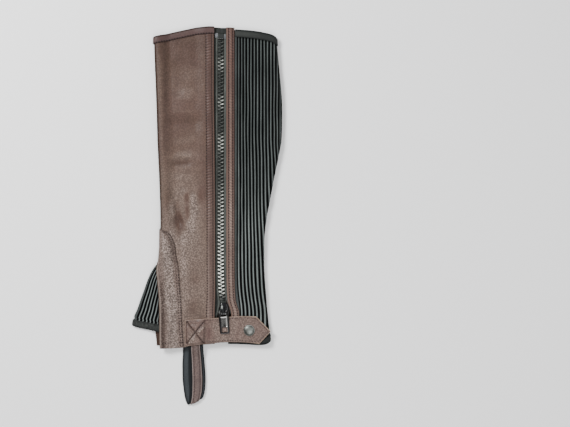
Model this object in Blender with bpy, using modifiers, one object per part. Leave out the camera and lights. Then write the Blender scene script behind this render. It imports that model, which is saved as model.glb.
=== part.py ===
"""Half chap of brown leather and black ribbed elastic, laid flat with its zip side up.

All sizes are millimetres in the maker's frame: x runs across the leg from the line of the
zip's teeth, y runs up the leg from the leather's hem, z rises from the surface it lies on.
"""

import math

import bmesh
import bpy
import numpy as np

MM = 0.001
MIDDLE_ACROSS = -18.35
MIDDLE_UP = 172.88

GAP = 0.3
LEATHER = 1.8
ELASTIC = 1.6
RIB_RISE = 1.0
RIB_RISE_AT_FOLD = 0.35
STRIP = 1.2
PATCH_GAP = 0.4
BINDING = 0.9
BINDING_WIDTH = 10.0
BINDING_STEP = GAP + BINDING
RIM_CLEAR = 0.45

# The flattened tube: how far the walls stand apart at the folds, in the middle and at the zip.
FOLD_HALF = 5.0
FRONT_FOLD_ROOM = 8.2
SLIT_FLAP_ROOM = 6.5
ZIP_LEVEL = 4.6
SAG_CALF = 3.2
SAG_ANKLE = 4.0
RIDGE_WIDTH = 17.0
BACK_FOLD_CALF = 6.4
BACK_FOLD_ANKLE = 5.2
BACK_SAG = 3.7
SEAM_ACROSS = 18.0
UNDER_LIFT_HEM = 4.0
UNDER_LIFT_TOP = 1.0

# Instep slit: the front fold is cut open below its top.
SLIT_TOP = 112.5
SLIT_OPEN = 107.5

# Zip: facing strips, tapes, toothed chain and the lips that turn over the panels' edges.
FACING_WIDTH = 11.2
LIP = 1.0
LIP_FOOT = 4.75
TAPE_LOW = 3.3
TAPE = 1.0
TAPE_TUCK = 9.0
CHAIN_HALF = 4.1
CHAIN_LOW = 2.1
CHAIN_THICK = 3.4
CHAIN_BOTTOM = 59.9
CHAIN_TOP = 407.9
BOX_TOP = 415.6
BAND_TOP = 423.2

# Elastic ribs: place of the first crest from the teeth, spacing and how it widens outward.
FIRST_CREST = 24.0
RIB_PITCH = 4.0
RIB_WIDEN = 0.032
RIB_COUNT = 15

# height, front fold (below the slit the upper leather's cut edge), back fold over the ribs
FOLDS = [
    (-5.0, -80.7, 66.2),
    (14.6, -81.4, 65.6),
    (34.6, -81.4, 63.3),
    (61.2, -81.9, 60.8),
    (87.8, -84.2, 58.7),
    (101.0, -85.3, 57.9),
    (107.5, -84.6, 57.7),
    (112.5, -82.4, 57.7),
    (134.3, -80.5, 58.0),
    (154.3, -80.3, 59.2),
    (174.2, -80.4, 62.0),
    (194.2, -80.8, 65.8),
    (220.8, -81.8, 70.8),
    (251.4, -83.3, 77.0),
    (274.0, -84.2, 80.9),
    (313.9, -85.4, 81.9),
    (349.8, -86.7, 79.7),
    (380.4, -88.0, 76.7),
    (407.0, -88.9, 74.6),
    (425.0, -89.4, 73.2),
]

# height, cut edge of the under layer of leather beside the instep slit
UNDER_EDGE = [(0.0, -85.6), (20.0, -87.4), (60.0, -86.6), (107.5, -85.2)]

# height, line of the teeth, front facing's edge, back facing's edge
ZIP_LINES = [
    (-10.0, 4.6, -7.6, 8.4),
    (5.0, 4.6, -7.6, 8.6),
    (25.0, 4.5, -7.6, 11.5),
    (43.0, 4.4, -7.6, 13.8),
    (55.0, 3.6, -7.3, 10.6),
    (62.0, 2.6, -7.0, 8.9),
    (75.0, 1.2, -6.9, 8.0),
    (88.0, 0.5, -6.9, 7.6),
    (110.0, 0.1, -7.0, 7.4),
    (194.0, 0.0, -7.2, 7.3),
    (270.0, 0.0, -7.8, 7.3),
    (340.0, 0.0, -8.6, 7.3),
    (430.0, 0.0, -8.6, 7.3),
]

# height, inner edge of the front tape, inner edge of the back tape, where the slider parts them
TAPE_EDGES = [
    (-10.0, -4.9, 13.7),
    (39.0, -4.9, 13.8),
    (48.0, -3.0, 11.7),
    (57.5, -1.3, 9.3),
    (62.0, -1.9, 7.1),
    (75.0, -3.3, 5.7),
    (88.0, -4.0, 5.0),
    (110.0, -4.4, 4.6),
    (430.0, -4.4, 4.5),
]

# height, widening of the rib spacing where the elastic is drawn in at the ankle
RIB_STRETCH = [(0.0, 1.22), (61.0, 1.21), (114.0, 1.16), (141.0, 1.12), (168.0, 1.08),
               (194.0, 1.06), (247.0, 1.03), (280.0, 1.0), (430.0, 1.0)]

# across, height of the leather's hem
HEM = [(-92.0, -3.6), (-81.0, -3.3), (-50.0, -2.0), (-43.0, -0.4), (-20.0, 2.3), (0.0, 3.5),
       (10.0, 3.0), (30.0, 2.5), (50.0, 1.5), (58.0, 1.9), (62.0, 3.0), (65.0, 5.5), (68.0, 8.0)]

# across, height of the bound top edge of the leather
LEATHER_TOP = [(-92.0, 406.0), (-89.5, 408.2), (-86.5, 411.1), (-71.0, 415.2), (-49.6, 420.0),
               (-29.4, 423.9), (-11.6, 425.1), (-7.3, 424.6), (8.0, 423.2), (22.0, 421.5)]

# across, height of the bound top edge of the elastic
ELASTIC_TOP = [(7.0, 421.6), (22.6, 420.8), (36.8, 419.9), (52.4, 417.9), (67.3, 414.1),
               (72.8, 411.1), (75.0, 407.8)]

# height, inner edge of the ankle patch, across
PATCH_EDGE = [
    (-5.0, -48.6), (0.4, -49.1), (34.3, -51.6), (59.9, -52.5), (71.8, -53.7), (89.6, -54.9),
    (104.5, -56.1), (119.3, -59.1), (134.2, -61.4), (144.3, -65.7), (149.0, -68.7),
    (152.0, -71.8), (154.0, -75.6), (154.7, -77.6), (155.2, -79.3),
]

# height, outer fold of the gusset
GUSSET_FOLD = [(25.0, -118.4), (31.8, -118.6), (38.6, -116.0), (49.6, -111.1), (59.9, -107.6),
               (72.5, -103.0), (87.0, -97.9), (97.1, -93.3), (105.0, -88.2), (109.0, -85.2)]

# across, lower edge of the gusset under its binding
GUSSET_HEM = [(-119.0, 29.2), (-117.0, 27.8), (-112.8, 26.2), (-100.0, 23.3), (-87.4, 20.8),
              (-74.0, 18.4)]

# across, height, rise and reach of soft dents and swells in the laid leather
SWELLS = [(-46.0, 338.0, 0.55, 15.0), (-33.0, 300.0, -0.45, 14.0), (-52.0, 262.0, -0.4, 13.0),
          (-41.0, 226.0, 0.5, 16.0), (-58.0, 186.0, 0.35, 15.0), (-30.0, 172.0, -0.4, 15.0),
          (-56.0, 385.0, 0.35, 14.0)]

# across, lower edge and upper edge of the closing strap
STRAP = [
    (-47.2, 0.2, 34.4), (-44.0, 0.3, 34.9), (-40.5, 0.8, 35.2), (-33.5, 1.5, 35.8),
    (-26.5, 2.5, 36.3), (-23.0, 2.9, 36.6), (-20.2, 3.2, 36.9), (-12.0, 3.7, 37.3),
    (0.0, 5.0, 38.0), (14.0, 5.7, 39.5), (26.0, 5.6, 40.1), (38.0, 4.8, 40.0), (47.3, 4.0, 39.6), (51.6, 3.5, 35.2),
    (56.0, 8.2, 30.7), (60.5, 13.2, 26.0), (64.2, 17.2, 22.3), (66.4, 19.2, 20.6),
]
STRAP_LOW = 8.3

# One stretch of the foot loop per row: height, middle level, left edge, right edge, slant
LOOP = [
    (24.0, 6.75, -42.9, -23.5, 0.0),
    (14.0, 6.75, -42.8, -23.5, 0.0),
    (5.0, 6.75, -42.7, -23.4, 0.0),
    (-1.5, 6.6, -42.7, -23.2, 0.0),
    (-7.0, 5.2, -42.6, -22.9, 0.0),
    (-13.0, 3.2, -42.4, -22.4, 0.0),
    (-19.0, 2.3, -42.2, -21.9, 0.0),
    (-32.0, 2.2, -41.9, -20.9, 0.0),
    (-45.0, 2.2, -41.5, -20.2, 0.3),
    (-58.0, 2.2, -41.6, -20.7, 1.4),
    (-67.0, 2.2, -42.2, -22.0, 3.0),
    (-72.6, 2.1, -43.3, -23.6, 4.1),
    (-74.3, 1.4, -44.0, -24.6, 4.4),
    (-72.8, 0.7, -45.4, -25.6, 4.2),
    (-67.0, 0.6, -47.9, -27.8, 3.0),
    (-56.0, 0.6, -49.9, -29.6, 1.2),
    (-42.0, 0.6, -51.3, -30.8, 0.3),
    (-26.0, 0.6, -51.5, -31.0, 0.0),
    (-12.0, 0.6, -50.8, -30.6, 0.0),
    (-4.5, 0.8, -50.4, -30.4, 0.0),
    (2.2, 2.7, -50.2, -30.2, 0.0),
    (9.0, 2.75, -50.0, -30.0, 0.0),
    (16.0, 2.75, -49.8, -29.8, 0.0),
]
LOOP_THICK = 1.2
LOOP_STRIP_ROWS = 13
LOOP_STRIP_LEFT = 0.165
LOOP_STRIP_RIGHT = 0.81

# Slider, pull tab and snap
SLIDER_MIDDLE = 4.4
SLIDER_BOTTOM = 40.6
SLIDER_TOP = 57.5
SLIDER_WIDE = 16.8
SLIDER_NARROW = 9.2
SLIDER_LOW = 2.3
SLIDER_HIGH = 8.1
TAB_AXIS = (3.75, 46.4, 11.25)
TAB_YAW = 4.4
TAB_WIDTH_TOP = 13.6
TAB_WIDTH_FOOT = 12.6
TAB_LENGTH = 29.5
TAB_THICK = 1.5
TAB_BAR = 0.8
SNAP_PLACE = (38.0, 21.3)
SNAP_RADIUS = 7.3

COLOURS = {
    "brown_leather": ((0.105, 0.062, 0.048, 1.0), 0.55, 0.0),
    "facing_leather": ((0.13, 0.068, 0.052, 1.0), 0.5, 0.0),
    "ribbed_elastic": ((0.03, 0.034, 0.033, 1.0), 0.8, 0.0),
    "binding_knit": ((0.022, 0.025, 0.026, 1.0), 0.85, 0.0),
    "zip_tape": ((0.03, 0.033, 0.032, 1.0), 0.85, 0.0),
    "zip_plastic": ((0.008, 0.009, 0.009, 1.0), 0.3, 0.0),
    "slider_enamel": ((0.006, 0.007, 0.008, 1.0), 0.25, 0.3),
    "dark_metal": ((0.09, 0.09, 0.095, 1.0), 0.3, 1.0),
    "aged_nickel": ((0.28, 0.29, 0.27, 1.0), 0.35, 1.0),
}


def smooth(value, low, high):
    """Rise from 0 at low to 1 at high, level at both ends."""
    part = np.clip((np.asarray(value, float) - low) / (high - low), 0.0, 1.0)
    return part * part * (3.0 - 2.0 * part)


def blend(first, second, share):
    """Straight mix of two values."""
    return first + (second - first) * share


def through(table, column, place):
    """Value of a table's column on a curve through its rows that never overshoots them."""
    rows = np.array(table, float)
    xs = rows[:, 0]
    ys = rows[:, column]
    steps = np.diff(xs)
    rates = np.diff(ys) / steps
    slopes = np.zeros(len(xs))
    slopes[0] = rates[0]
    slopes[-1] = rates[-1]
    same = rates[1:] * rates[:-1] > 0.0
    total = np.where(same, rates[1:] + rates[:-1], 1.0)
    slopes[1:-1] = np.where(same, 2.0 * rates[1:] * rates[:-1] / total, 0.0)
    place = np.clip(np.asarray(place, float), xs[0], xs[-1])
    cell = np.clip(np.searchsorted(xs, place, side="right") - 1, 0, len(steps) - 1)
    u = (place - xs[cell]) / steps[cell]
    start = ys[cell] * (1 + 2 * u) * (1 - u) ** 2 + slopes[cell] * steps[cell] * u * (1 - u) ** 2
    end = ys[cell + 1] * u * u * (3 - 2 * u) + slopes[cell + 1] * steps[cell] * u * u * (u - 1)
    return start + end


def stack(*columns):
    """Join coordinates into points, spreading single numbers along the others."""
    return np.stack(np.broadcast_arrays(*columns), axis=-1).astype(float)


def to_world(points):
    """Move points from the maker's frame to metres about the middle of the outline."""
    shift = np.array([MIDDLE_ACROSS, MIDDLE_UP, 0.0])
    return (np.asarray(points, float) - shift) * MM


def make_material(name):
    """Principled material with the colour, roughness and metallic value of one finish."""
    colour, roughness, metallic = COLOURS[name]
    material = bpy.data.materials.get(name) or bpy.data.materials.new(name)
    material.use_nodes = True
    shader = material.node_tree.nodes["Principled BSDF"]
    shader.inputs["Base Color"].default_value = colour
    shader.inputs["Roughness"].default_value = roughness
    shader.inputs["Metallic"].default_value = metallic
    material.diffuse_color = colour
    return material


def finish(item, material, collection, sharp=35.0):
    """Shade an object smooth with sharp creases and put it in its collection."""
    item.data.materials.clear()
    item.data.materials.append(make_material(material))
    item.data.shade_smooth()
    item.data.set_sharp_from_angle(angle=math.radians(sharp))
    for old in list(item.users_collection):
        old.objects.unlink(item)
    collection.objects.link(item)
    return item


def new_object(name, points, faces):
    """Object from world points and faces."""
    mesh = bpy.data.meshes.new(name)
    mesh.from_pydata([tuple(point) for point in points], [], faces)
    mesh.update()
    return bpy.data.objects.new(name, mesh)


def grid_faces(grid):
    """Four-sided faces between neighbouring rows and columns of point numbers."""
    corners = (grid[:-1, :-1], grid[1:, :-1], grid[1:, 1:], grid[:-1, 1:])
    return [tuple(int(k) for k in face) for face in np.stack([c.ravel() for c in corners], 1)]


def sheet(name, grid, thick, material, collection, outward=(0.0, 0.0, 1.0)):
    """Open lofted surface thickened with Solidify on the side that outward points to."""
    rows, columns = grid.shape[:2]
    numbers = np.arange(rows * columns).reshape(rows, columns)
    middle = (rows // 2, columns // 2)
    along = grid[middle[0], middle[1]] - grid[middle[0] - 1, middle[1]]
    across = grid[middle[0], middle[1]] - grid[middle[0], middle[1] - 1]
    faces = grid_faces(numbers)
    if np.dot(np.cross(along, across), outward) < 0.0:
        faces = [tuple(reversed(face)) for face in faces]
    item = new_object(name, to_world(grid.reshape(-1, 3)), faces)
    solid = item.modifiers.new("thickness", "SOLIDIFY")
    solid.thickness = thick * MM
    solid.offset = 1.0
    solid.use_even_offset = True
    return finish(item, material, collection)


def wall(name, inner, outer, blocks, material, collection):
    """Closed loft between an inner and an outer surface that share their point numbers."""
    count = len(inner)
    quads = [quad for block in blocks for quad in grid_faces(block)]
    directed = {edge for quad in quads for edge in zip(quad, quad[1:] + quad[:1])}
    rims = sorted(edge for edge in directed if edge[::-1] not in directed)
    faces = [tuple(count + k for k in quad) for quad in quads]
    faces += [tuple(reversed(quad)) for quad in quads]
    faces += [(start, end, count + end, count + start) for start, end in rims]
    item = new_object(name, to_world(np.concatenate([inner, outer])), faces)
    shape = bmesh.new()
    shape.from_mesh(item.data)
    bmesh.ops.recalc_face_normals(shape, faces=shape.faces)
    shape.to_mesh(item.data)
    shape.free()
    return finish(item, material, collection)


def box(name, low, high, material, collection, bevel=0.0):
    """Box between two corners, with rounded edges where a bevel is given."""
    low = np.array(low, float)
    high = np.array(high, float)
    bpy.ops.mesh.primitive_cube_add(size=1.0, location=(0.0, 0.0, 0.0))
    item = bpy.context.active_object
    item.name = name
    item.data.name = name
    sizes = (high - low) * MM
    for vertex in item.data.vertices:
        vertex.co = [vertex.co[axis] * sizes[axis] for axis in range(3)]
    item.location = to_world((low + high) / 2.0)
    if bevel:
        round_edges(item, bevel)
    return finish(item, material, collection)


def round_edges(item, width, segments=2):
    """Bevel modifier on an object's sharp edges."""
    bevel = item.modifiers.new("rounding", "BEVEL")
    bevel.width = width * MM
    bevel.segments = segments
    bevel.limit_method = "ANGLE"
    bevel.angle_limit = math.radians(35.0)


def cut_with(item, tool, operation):
    """Boolean modifier that joins or cuts one object with a hidden one."""
    boolean = item.modifiers.new(operation.lower(), "BOOLEAN")
    boolean.operation = operation
    boolean.object = tool
    boolean.solver = "EXACT"
    tool.hide_render = True
    tool.display_type = "WIRE"


def leather_height(across, share):
    """Height at a share of the way from the hem to the leather's top rim."""
    hem = through(HEM, 1, across)
    return hem + share * (through(LEATHER_TOP, 1, across) - BINDING_STEP - hem)


def elastic_height(across, share):
    """Height at a share of the way between the elastic's two bound rims."""
    hem = through(HEM, 1, across) + BINDING_STEP
    return hem + share * (through(ELASTIC_TOP, 1, across) - BINDING_STEP - hem)


def under_lift(share):
    """How much higher up the leg the under layer lies than the upper one."""
    return blend(UNDER_LIFT_HEM, UNDER_LIFT_TOP, share)


def leather_share(height):
    """Share of the way up the leather at which its front fold has the given height."""
    across = through(FOLDS, 1, height)
    hem = leather_height(across, 0.0)
    return float((height - hem) / (leather_height(across, 1.0) - hem))


def swell(across, height):
    """Sum of the soft round dents and swells."""
    rise = 0.0
    for place, up, amount, reach in SWELLS:
        apart = ((across - place) ** 2 + (0.6 * (height - up)) ** 2) / reach ** 2
        rise = rise + amount * np.exp(-apart)
    return rise


def leather_row(share):
    """Lines that bound one row of the leather: zip rim, ridge, cut edges and room."""
    front = -84.0
    rim = -9.0
    for _ in range(4):
        height = float(leather_height(front, share))
        front = float(through(FOLDS, 1, height))
        rim = float(through(ZIP_LINES, 2, leather_height(rim, share))) - LIP - GAP
    opened = 1.0 - float(smooth(height, SLIT_OPEN, SLIT_TOP))
    room = blend(SLIT_FLAP_ROOM, FRONT_FOLD_ROOM, float(smooth(height, SLIT_OPEN, 125.0)))
    under = float(through(UNDER_EDGE, 1, height))
    return {"share": share, "front": front, "rim": rim, "ridge": front + FOLD_HALF,
            "opened": opened, "room": room, "under": under, "height": height}


def upper_room(across, height, row):
    """Height of the upper leather's inner face: level by the zip, sagging, raised at the fold."""
    sag = blend(SAG_ANKLE, SAG_CALF, smooth(height, 60.0, 110.0))
    reach = blend(15.0, 26.0, smooth(height, 50.0, 110.0))
    by_zip = smooth(across, row["rim"] - reach, row["rim"] - 9.5)
    calm = (1.0 - by_zip) * smooth(height, 120.0, 160.0)
    level = blend(sag, ZIP_LEVEL, by_zip) + calm * swell(across, height)
    by_fold = smooth(across, row["ridge"] + RIDGE_WIDTH, row["ridge"])
    return blend(level, row["room"], by_fold)


def leather_inner(place, row, lower):
    """Inner face of the leather tube.

    place runs 0 to 1 from the zip rim to the ridge, 1 to 3 round the front fold (the slit
    parts it at 2) and 3 to 4 along the underside to the seam.
    """
    flat = np.clip(place, 0.0, 1.0)
    turn = np.clip(place - 1.0, 0.0, 2.0)
    back = np.clip(place - 3.0, 0.0, 1.0)
    across = blend(row["rim"], row["ridge"], flat)
    room = upper_room(across, leather_height(across, row["share"]), row)
    angle = (1.0 - turn) * math.pi / 2.0
    radius = FOLD_HALF - LEATHER
    middle = (row["room"] + LEATHER) / 2.0
    fold_x = row["ridge"] - radius * np.cos(angle)
    fold_z = middle + (row["room"] - LEATHER) / 2.0 * np.sin(angle)
    if lower:
        open_x = blend(row["under"], row["ridge"], np.clip(turn - 1.0, 0.0, 1.0))
        open_z = LEATHER
    else:
        open_x = blend(row["ridge"], row["front"], np.clip(turn, 0.0, 1.0))
        open_z = row["room"]
    fold_x = blend(fold_x, open_x, row["opened"])
    fold_z = blend(fold_z, open_z, row["opened"])
    x = np.where(place <= 1.0, across, fold_x)
    z = np.where(place <= 1.0, room, fold_z)
    x = np.where(place >= 3.0, blend(row["ridge"], SEAM_ACROSS - GAP / 2.0, back), x)
    z = np.where(place >= 3.0, LEATHER, z)
    turned = smooth(place, 2.0, 3.0)
    if lower:
        turned = blend(turned, 1.0, row["opened"])
    y = leather_height(x, row["share"]) + turned * under_lift(row["share"])
    return stack(x, y, z)


def leather_surface(place, share, lower=False):
    """Inner points, outer points and outward directions along one row of the leather."""
    row = leather_row(share)
    place = np.asarray(place, float)
    step = 0.012
    low, high = (2.0, 4.0) if lower else (0.0, 2.0)
    closed = row["opened"] < 1e-4
    before = np.clip(place - step, 0.0 if closed else low, 4.0 if closed else high)
    after = np.clip(place + step, 0.0 if closed else low, 4.0 if closed else high)
    inner = leather_inner(place, row, lower)
    run = leather_inner(after, row, lower) - leather_inner(before, row, lower)
    length = np.hypot(run[:, 0], run[:, 2])
    outward = stack(run[:, 2] / length, 0.0, -run[:, 0] / length)
    return inner, inner + LEATHER * outward, outward


UPPER_PLACES = np.array([0.0, 0.064, 0.127, 0.23, 0.34, 0.46, 0.58, 0.69, 0.77, 0.82, 0.87,
                         0.91, 0.955, 1.0, 1.25, 1.5, 1.75, 2.0])
LOWER_PLACES = np.array([2.0, 2.25, 2.5, 2.75, 3.0, 3.1, 3.4, 3.7, 1.0 + 3.0])
LEATHER_HEIGHTS = [-3.3, 6.0, 18.0, 32.0, 46.0, 61.0, 77.0, 92.0, SLIT_OPEN, 109.4, 111.0,
                   SLIT_TOP, 119.0, 127.0, 139.0, 154.0, 172.0, 193.0, 216.0, 240.0, 265.0, 290.0,
                   315.0, 340.0, 363.0, 384.0, 394.0]


def leather_shares():
    """Rows of the leather, the last two at the binding's edge and the rim."""
    shares = [max(leather_share(height), 0.0) for height in LEATHER_HEIGHTS]
    return shares + [binding_share(), 1.0]


def binding_share():
    """Share of the leather's length at which its top binding begins."""
    return 1.0 - (BINDING_WIDTH - BINDING_STEP) / 420.0


def make_leather_panel(collection):
    """Tube of leather from the zip round the front fold to the seam underneath, slit below."""
    shares = leather_shares()
    apex = LEATHER_HEIGHTS.index(SLIT_TOP)
    upper = [leather_surface(UPPER_PLACES, share) for share in shares]
    lower = [leather_surface(LOWER_PLACES, share, lower=True) for share in shares]
    columns = len(UPPER_PLACES)
    rows = len(shares)
    upper_numbers = np.arange(rows * columns).reshape(rows, columns)
    count = rows * columns
    lower_numbers = np.zeros((rows, len(LOWER_PLACES)), int)
    inner = [row[0] for row in upper]
    outer = [row[1] for row in upper]
    for index in range(rows):
        first = 0 if index < apex else 1
        if first:
            lower_numbers[index, 0] = upper_numbers[index, -1]
        fresh = len(LOWER_PLACES) - first
        lower_numbers[index, first:] = count + np.arange(fresh)
        count += fresh
        inner.append(lower[index][0][first:])
        outer.append(lower[index][1][first:])
    return wall("leather_panel", np.concatenate(inner), np.concatenate(outer),
                [upper_numbers, lower_numbers], "brown_leather", collection)


def elastic_path(share):
    """Valley-level outer face of one row of the elastic: points, directions and distances."""
    start = 9.0
    back = 70.0
    for _ in range(4):
        start = float(through(ZIP_LINES, 3, elastic_height(start, share))) + LIP + GAP
        back = float(through(FOLDS, 2, elastic_height(back, share)))
    height = float(elastic_height(40.0, share))
    teeth = float(through(ZIP_LINES, 1, elastic_height(start, share)))
    calf = float(smooth(height, 110.0, 230.0))
    centre = back - FOLD_HALF
    top = blend(BACK_FOLD_ANKLE, BACK_FOLD_CALF, calf) + ELASTIC
    flat = np.linspace(start, centre, 70)
    sag = blend(ZIP_LEVEL, blend(ZIP_LEVEL, BACK_SAG, calf), smooth(flat, 22.0, 34.0)) + ELASTIC
    level = blend(sag, top, smooth(flat, centre - 15.0, centre))
    angle = np.linspace(math.pi / 2.0, -math.pi / 2.0, 42)[1:]
    turn_x = centre + (FOLD_HALF - RIB_RISE_AT_FOLD) * np.cos(angle)
    turn_z = top / 2.0 * (1.0 + np.sin(angle))
    under = np.linspace(centre, SEAM_ACROSS + GAP / 2.0, 40)[1:]
    x = np.concatenate([flat, turn_x, under])
    z = np.concatenate([level, turn_z, np.zeros(len(under))])
    turned = np.concatenate([np.zeros(len(flat)), smooth(-np.sin(angle), -0.2, 1.0),
                             np.ones(len(under))])
    y = elastic_height(x, share) + turned * under_lift(share)
    run_x = np.gradient(x)
    run_z = np.gradient(z)
    length = np.hypot(run_x, run_z)
    steps = np.hypot(np.diff(x), np.diff(z))
    distance = start - teeth + np.concatenate([[0.0], np.cumsum(steps)])
    outward = stack(-run_z / length, 0.0, run_x / length)
    stretch = float(through(RIB_STRETCH, 1, height))
    return {"points": stack(x, y, z), "outward": outward, "distance": distance,
            "stretch": stretch, "arc": distance[len(flat) - 1]}


def on_path(path, distance):
    """Points and outward directions of a path at distances from the teeth."""
    points = np.stack([np.interp(distance, path["distance"], path["points"][:, axis])
                       for axis in range(3)], axis=-1)
    outward = np.stack([np.interp(distance, path["distance"], path["outward"][:, axis])
                        for axis in range(3)], axis=-1)
    return points, outward / np.linalg.norm(outward, axis=1)[:, None]


def rib_columns(path):
    """Distances of the elastic's columns from the teeth, and how far each rises on a rib."""
    rib = np.arange(RIB_COUNT + 1)
    crest = FIRST_CREST + path["stretch"] * (RIB_PITCH * rib + RIB_WIDEN * rib ** 2)
    half = np.diff(crest) / 2.0
    places = [path["distance"][0], FIRST_CREST - 4.6, crest[0] - half[0]]
    rises = [0.0, 0.0, 0.0]
    for index in range(RIB_COUNT):
        places += [crest[index] - 0.5 * half[index], crest[index] + 0.5 * half[index],
                   crest[index] + half[index]]
        rises += [1.0, 1.0, 0.0]
    end = path["distance"][-1]
    places += [blend(places[-1], end, part) for part in (0.4, 0.75, 1.0)]
    rises += [0.0, 0.0, 0.0]
    return np.array(places), np.array(rises)


def elastic_shares():
    """Rows of the elastic: its rims, the edges of both bindings and the ribbed field."""
    edge = (BINDING_WIDTH - BINDING_STEP) / 417.0
    ease = 3.0 / 417.0
    field = [edge + ease, 0.054, 0.0965, 0.126, 0.15, 0.19, 0.24, 0.3, 0.36, 0.42, 0.48, 0.54,
             0.6, 0.66, 0.72, 0.78, 0.85, 0.92, 1.0 - edge - ease]
    return [0.0, edge] + field + [1.0 - edge, 1.0]


def elastic_surface(share, places=None, ribbed=True):
    """Inner points, outer points, valley points and directions along one elastic row."""
    path = elastic_path(share)
    columns, rises = rib_columns(path)
    if places is not None:
        columns = places
        rises = np.zeros(len(places))
    points, outward = on_path(path, columns)
    up = outward[:, 2]
    rise = blend(RIB_RISE_AT_FOLD * smooth(up, -0.6, -0.1), RIB_RISE, smooth(up, 0.0, 0.7))
    rise = rise * rises * (1.0 if ribbed else 0.0)
    outer = points + rise[:, None] * outward
    return points - ELASTIC * outward, outer, points, outward


def make_elastic_panel(collection):
    """Ribbed elastic from the zip round the back fold to the seam underneath."""
    shares = elastic_shares()
    bound = (0, 1, len(shares) - 2, len(shares) - 1)
    rows = [elastic_surface(share, ribbed=index not in bound)
            for index, share in enumerate(shares)]
    inner = np.concatenate([row[0] for row in rows])
    outer = np.concatenate([row[1] for row in rows])
    numbers = np.arange(len(inner)).reshape(len(shares), -1)
    return wall("elastic_panel", inner, outer, [numbers], "ribbed_elastic", collection)


def rim_cover(rim, rim_out, edge, edge_out, depth, clear=GAP):
    """Base grid of a binding: over the face from edge to rim, round the rim and down it."""
    along = rim - edge
    along = along / np.linalg.norm(along, axis=1)[:, None]
    corner = 0.1
    return np.stack([
        edge + GAP * edge_out,
        rim + GAP * rim_out + corner * along,
        rim + corner * rim_out + clear * along,
        rim + clear * along - depth * rim_out,
    ], axis=0)


def make_top_binding_leather(collection):
    """Leather strip folded over the top rim of the leather."""
    places = np.concatenate([UPPER_PLACES, [2.2, 2.4]])
    rim = leather_surface(places, 1.0)
    edge = leather_surface(places, binding_share())
    toward_zip = np.array([LIP + GAP, 0.0, 0.0])
    rim_points = np.concatenate([rim[1][:1] + toward_zip, rim[1]])
    edge_points = np.concatenate([edge[1][:1] + toward_zip, edge[1]])
    rim_out = np.concatenate([rim[2][:1], rim[2]])
    edge_out = np.concatenate([edge[2][:1], edge[2]])
    grid = rim_cover(rim_points, rim_out, edge_points, edge_out, LEATHER)
    return sheet("top_binding_leather", grid, BINDING, "facing_leather", collection)


def elastic_binding(name, rim_share, edge_share, first, collection):
    """Knit binding along one rim of the elastic, round the back fold."""
    rim_path = elastic_path(rim_share)
    edge_path = elastic_path(edge_share)
    rim_places = rib_columns(rim_path)[0]
    edge_places = rib_columns(edge_path)[0]
    points, outward = on_path(rim_path, rim_places)
    clear = points[:, 2] + (BINDING_STEP + 0.1) * outward[:, 2] > 0.3
    on_fold = rim_places > rim_path["arc"] - 2.0
    valley = np.arange(len(rim_places)) % 6 == 2
    keep = clear & (on_fold | valley) & (rim_places > first + 2.0)
    rim, rim_out = on_path(rim_path, np.concatenate([[first], rim_places[keep]]))
    edge, edge_out = on_path(edge_path, np.concatenate([[first], edge_places[keep]]))
    grid = rim_cover(rim, rim_out, edge, edge_out, ELASTIC, clear=RIM_CLEAR)
    return sheet(name, grid, BINDING, "binding_knit", collection)


def make_elastic_bindings(collection):
    """Bindings at the top and the bottom of the elastic."""
    shares = elastic_shares()
    past_facing = FIRST_CREST - 5.0 + GAP
    elastic_binding("top_binding_elastic", 1.0, shares[-2], past_facing, collection)
    start = float(elastic_path(0.0)["distance"][0])
    elastic_binding("bottom_binding_elastic", 0.0, shares[1], start, collection)


def facing_grid(rows, widths, lip_side):
    """Base grid of a zip facing: a lip down over the panel's rim, then flat on its face."""
    grid = []
    for outer, outward in rows:
        rim = outer[0] + GAP * outward[0]
        foot = rim + np.array([lip_side * GAP, 0.0, 0.0])
        foot[2] = LIP_FOOT
        corner_low = foot.copy()
        corner_low[2] = rim[2] - 0.2
        flat = [outer[index] + GAP * outward[index] for index in range(1, len(widths))]
        grid.append([foot, corner_low, rim] + flat)
    return np.array(grid)


def make_facings(collection):
    """Leather strips over both edges of the zip opening."""
    leather_rows = []
    shares = [share for share in leather_shares() if share < binding_share() - 0.01]
    for share in shares + [binding_share() - 0.0009]:
        row = leather_row(share)
        width = row["rim"] - row["ridge"]
        widths = np.array([0.0, 5.0, FACING_WIDTH - LIP - GAP]) / width
        _, outer, outward = leather_surface(widths, share)
        leather_rows.append((outer, outward))
    grid = facing_grid(leather_rows, widths, 1.0)
    sheet("zip_facing_front", grid, STRIP, "facing_leather", collection)
    elastic_rows = []
    shares = [share for share in elastic_shares() if 0.03 < share < 0.97]
    for share in [0.0234] + shares + [0.985, 1.0, 1.0075]:
        path = elastic_path(share)
        places = path["distance"][0] + np.array([0.0, 5.0, FACING_WIDTH - LIP - GAP])
        points, outward = on_path(path, places)
        elastic_rows.append((points, outward))
    grid = facing_grid(elastic_rows, places, -1.0)
    sheet("zip_facing_back", grid, STRIP, "facing_leather", collection)


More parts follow.
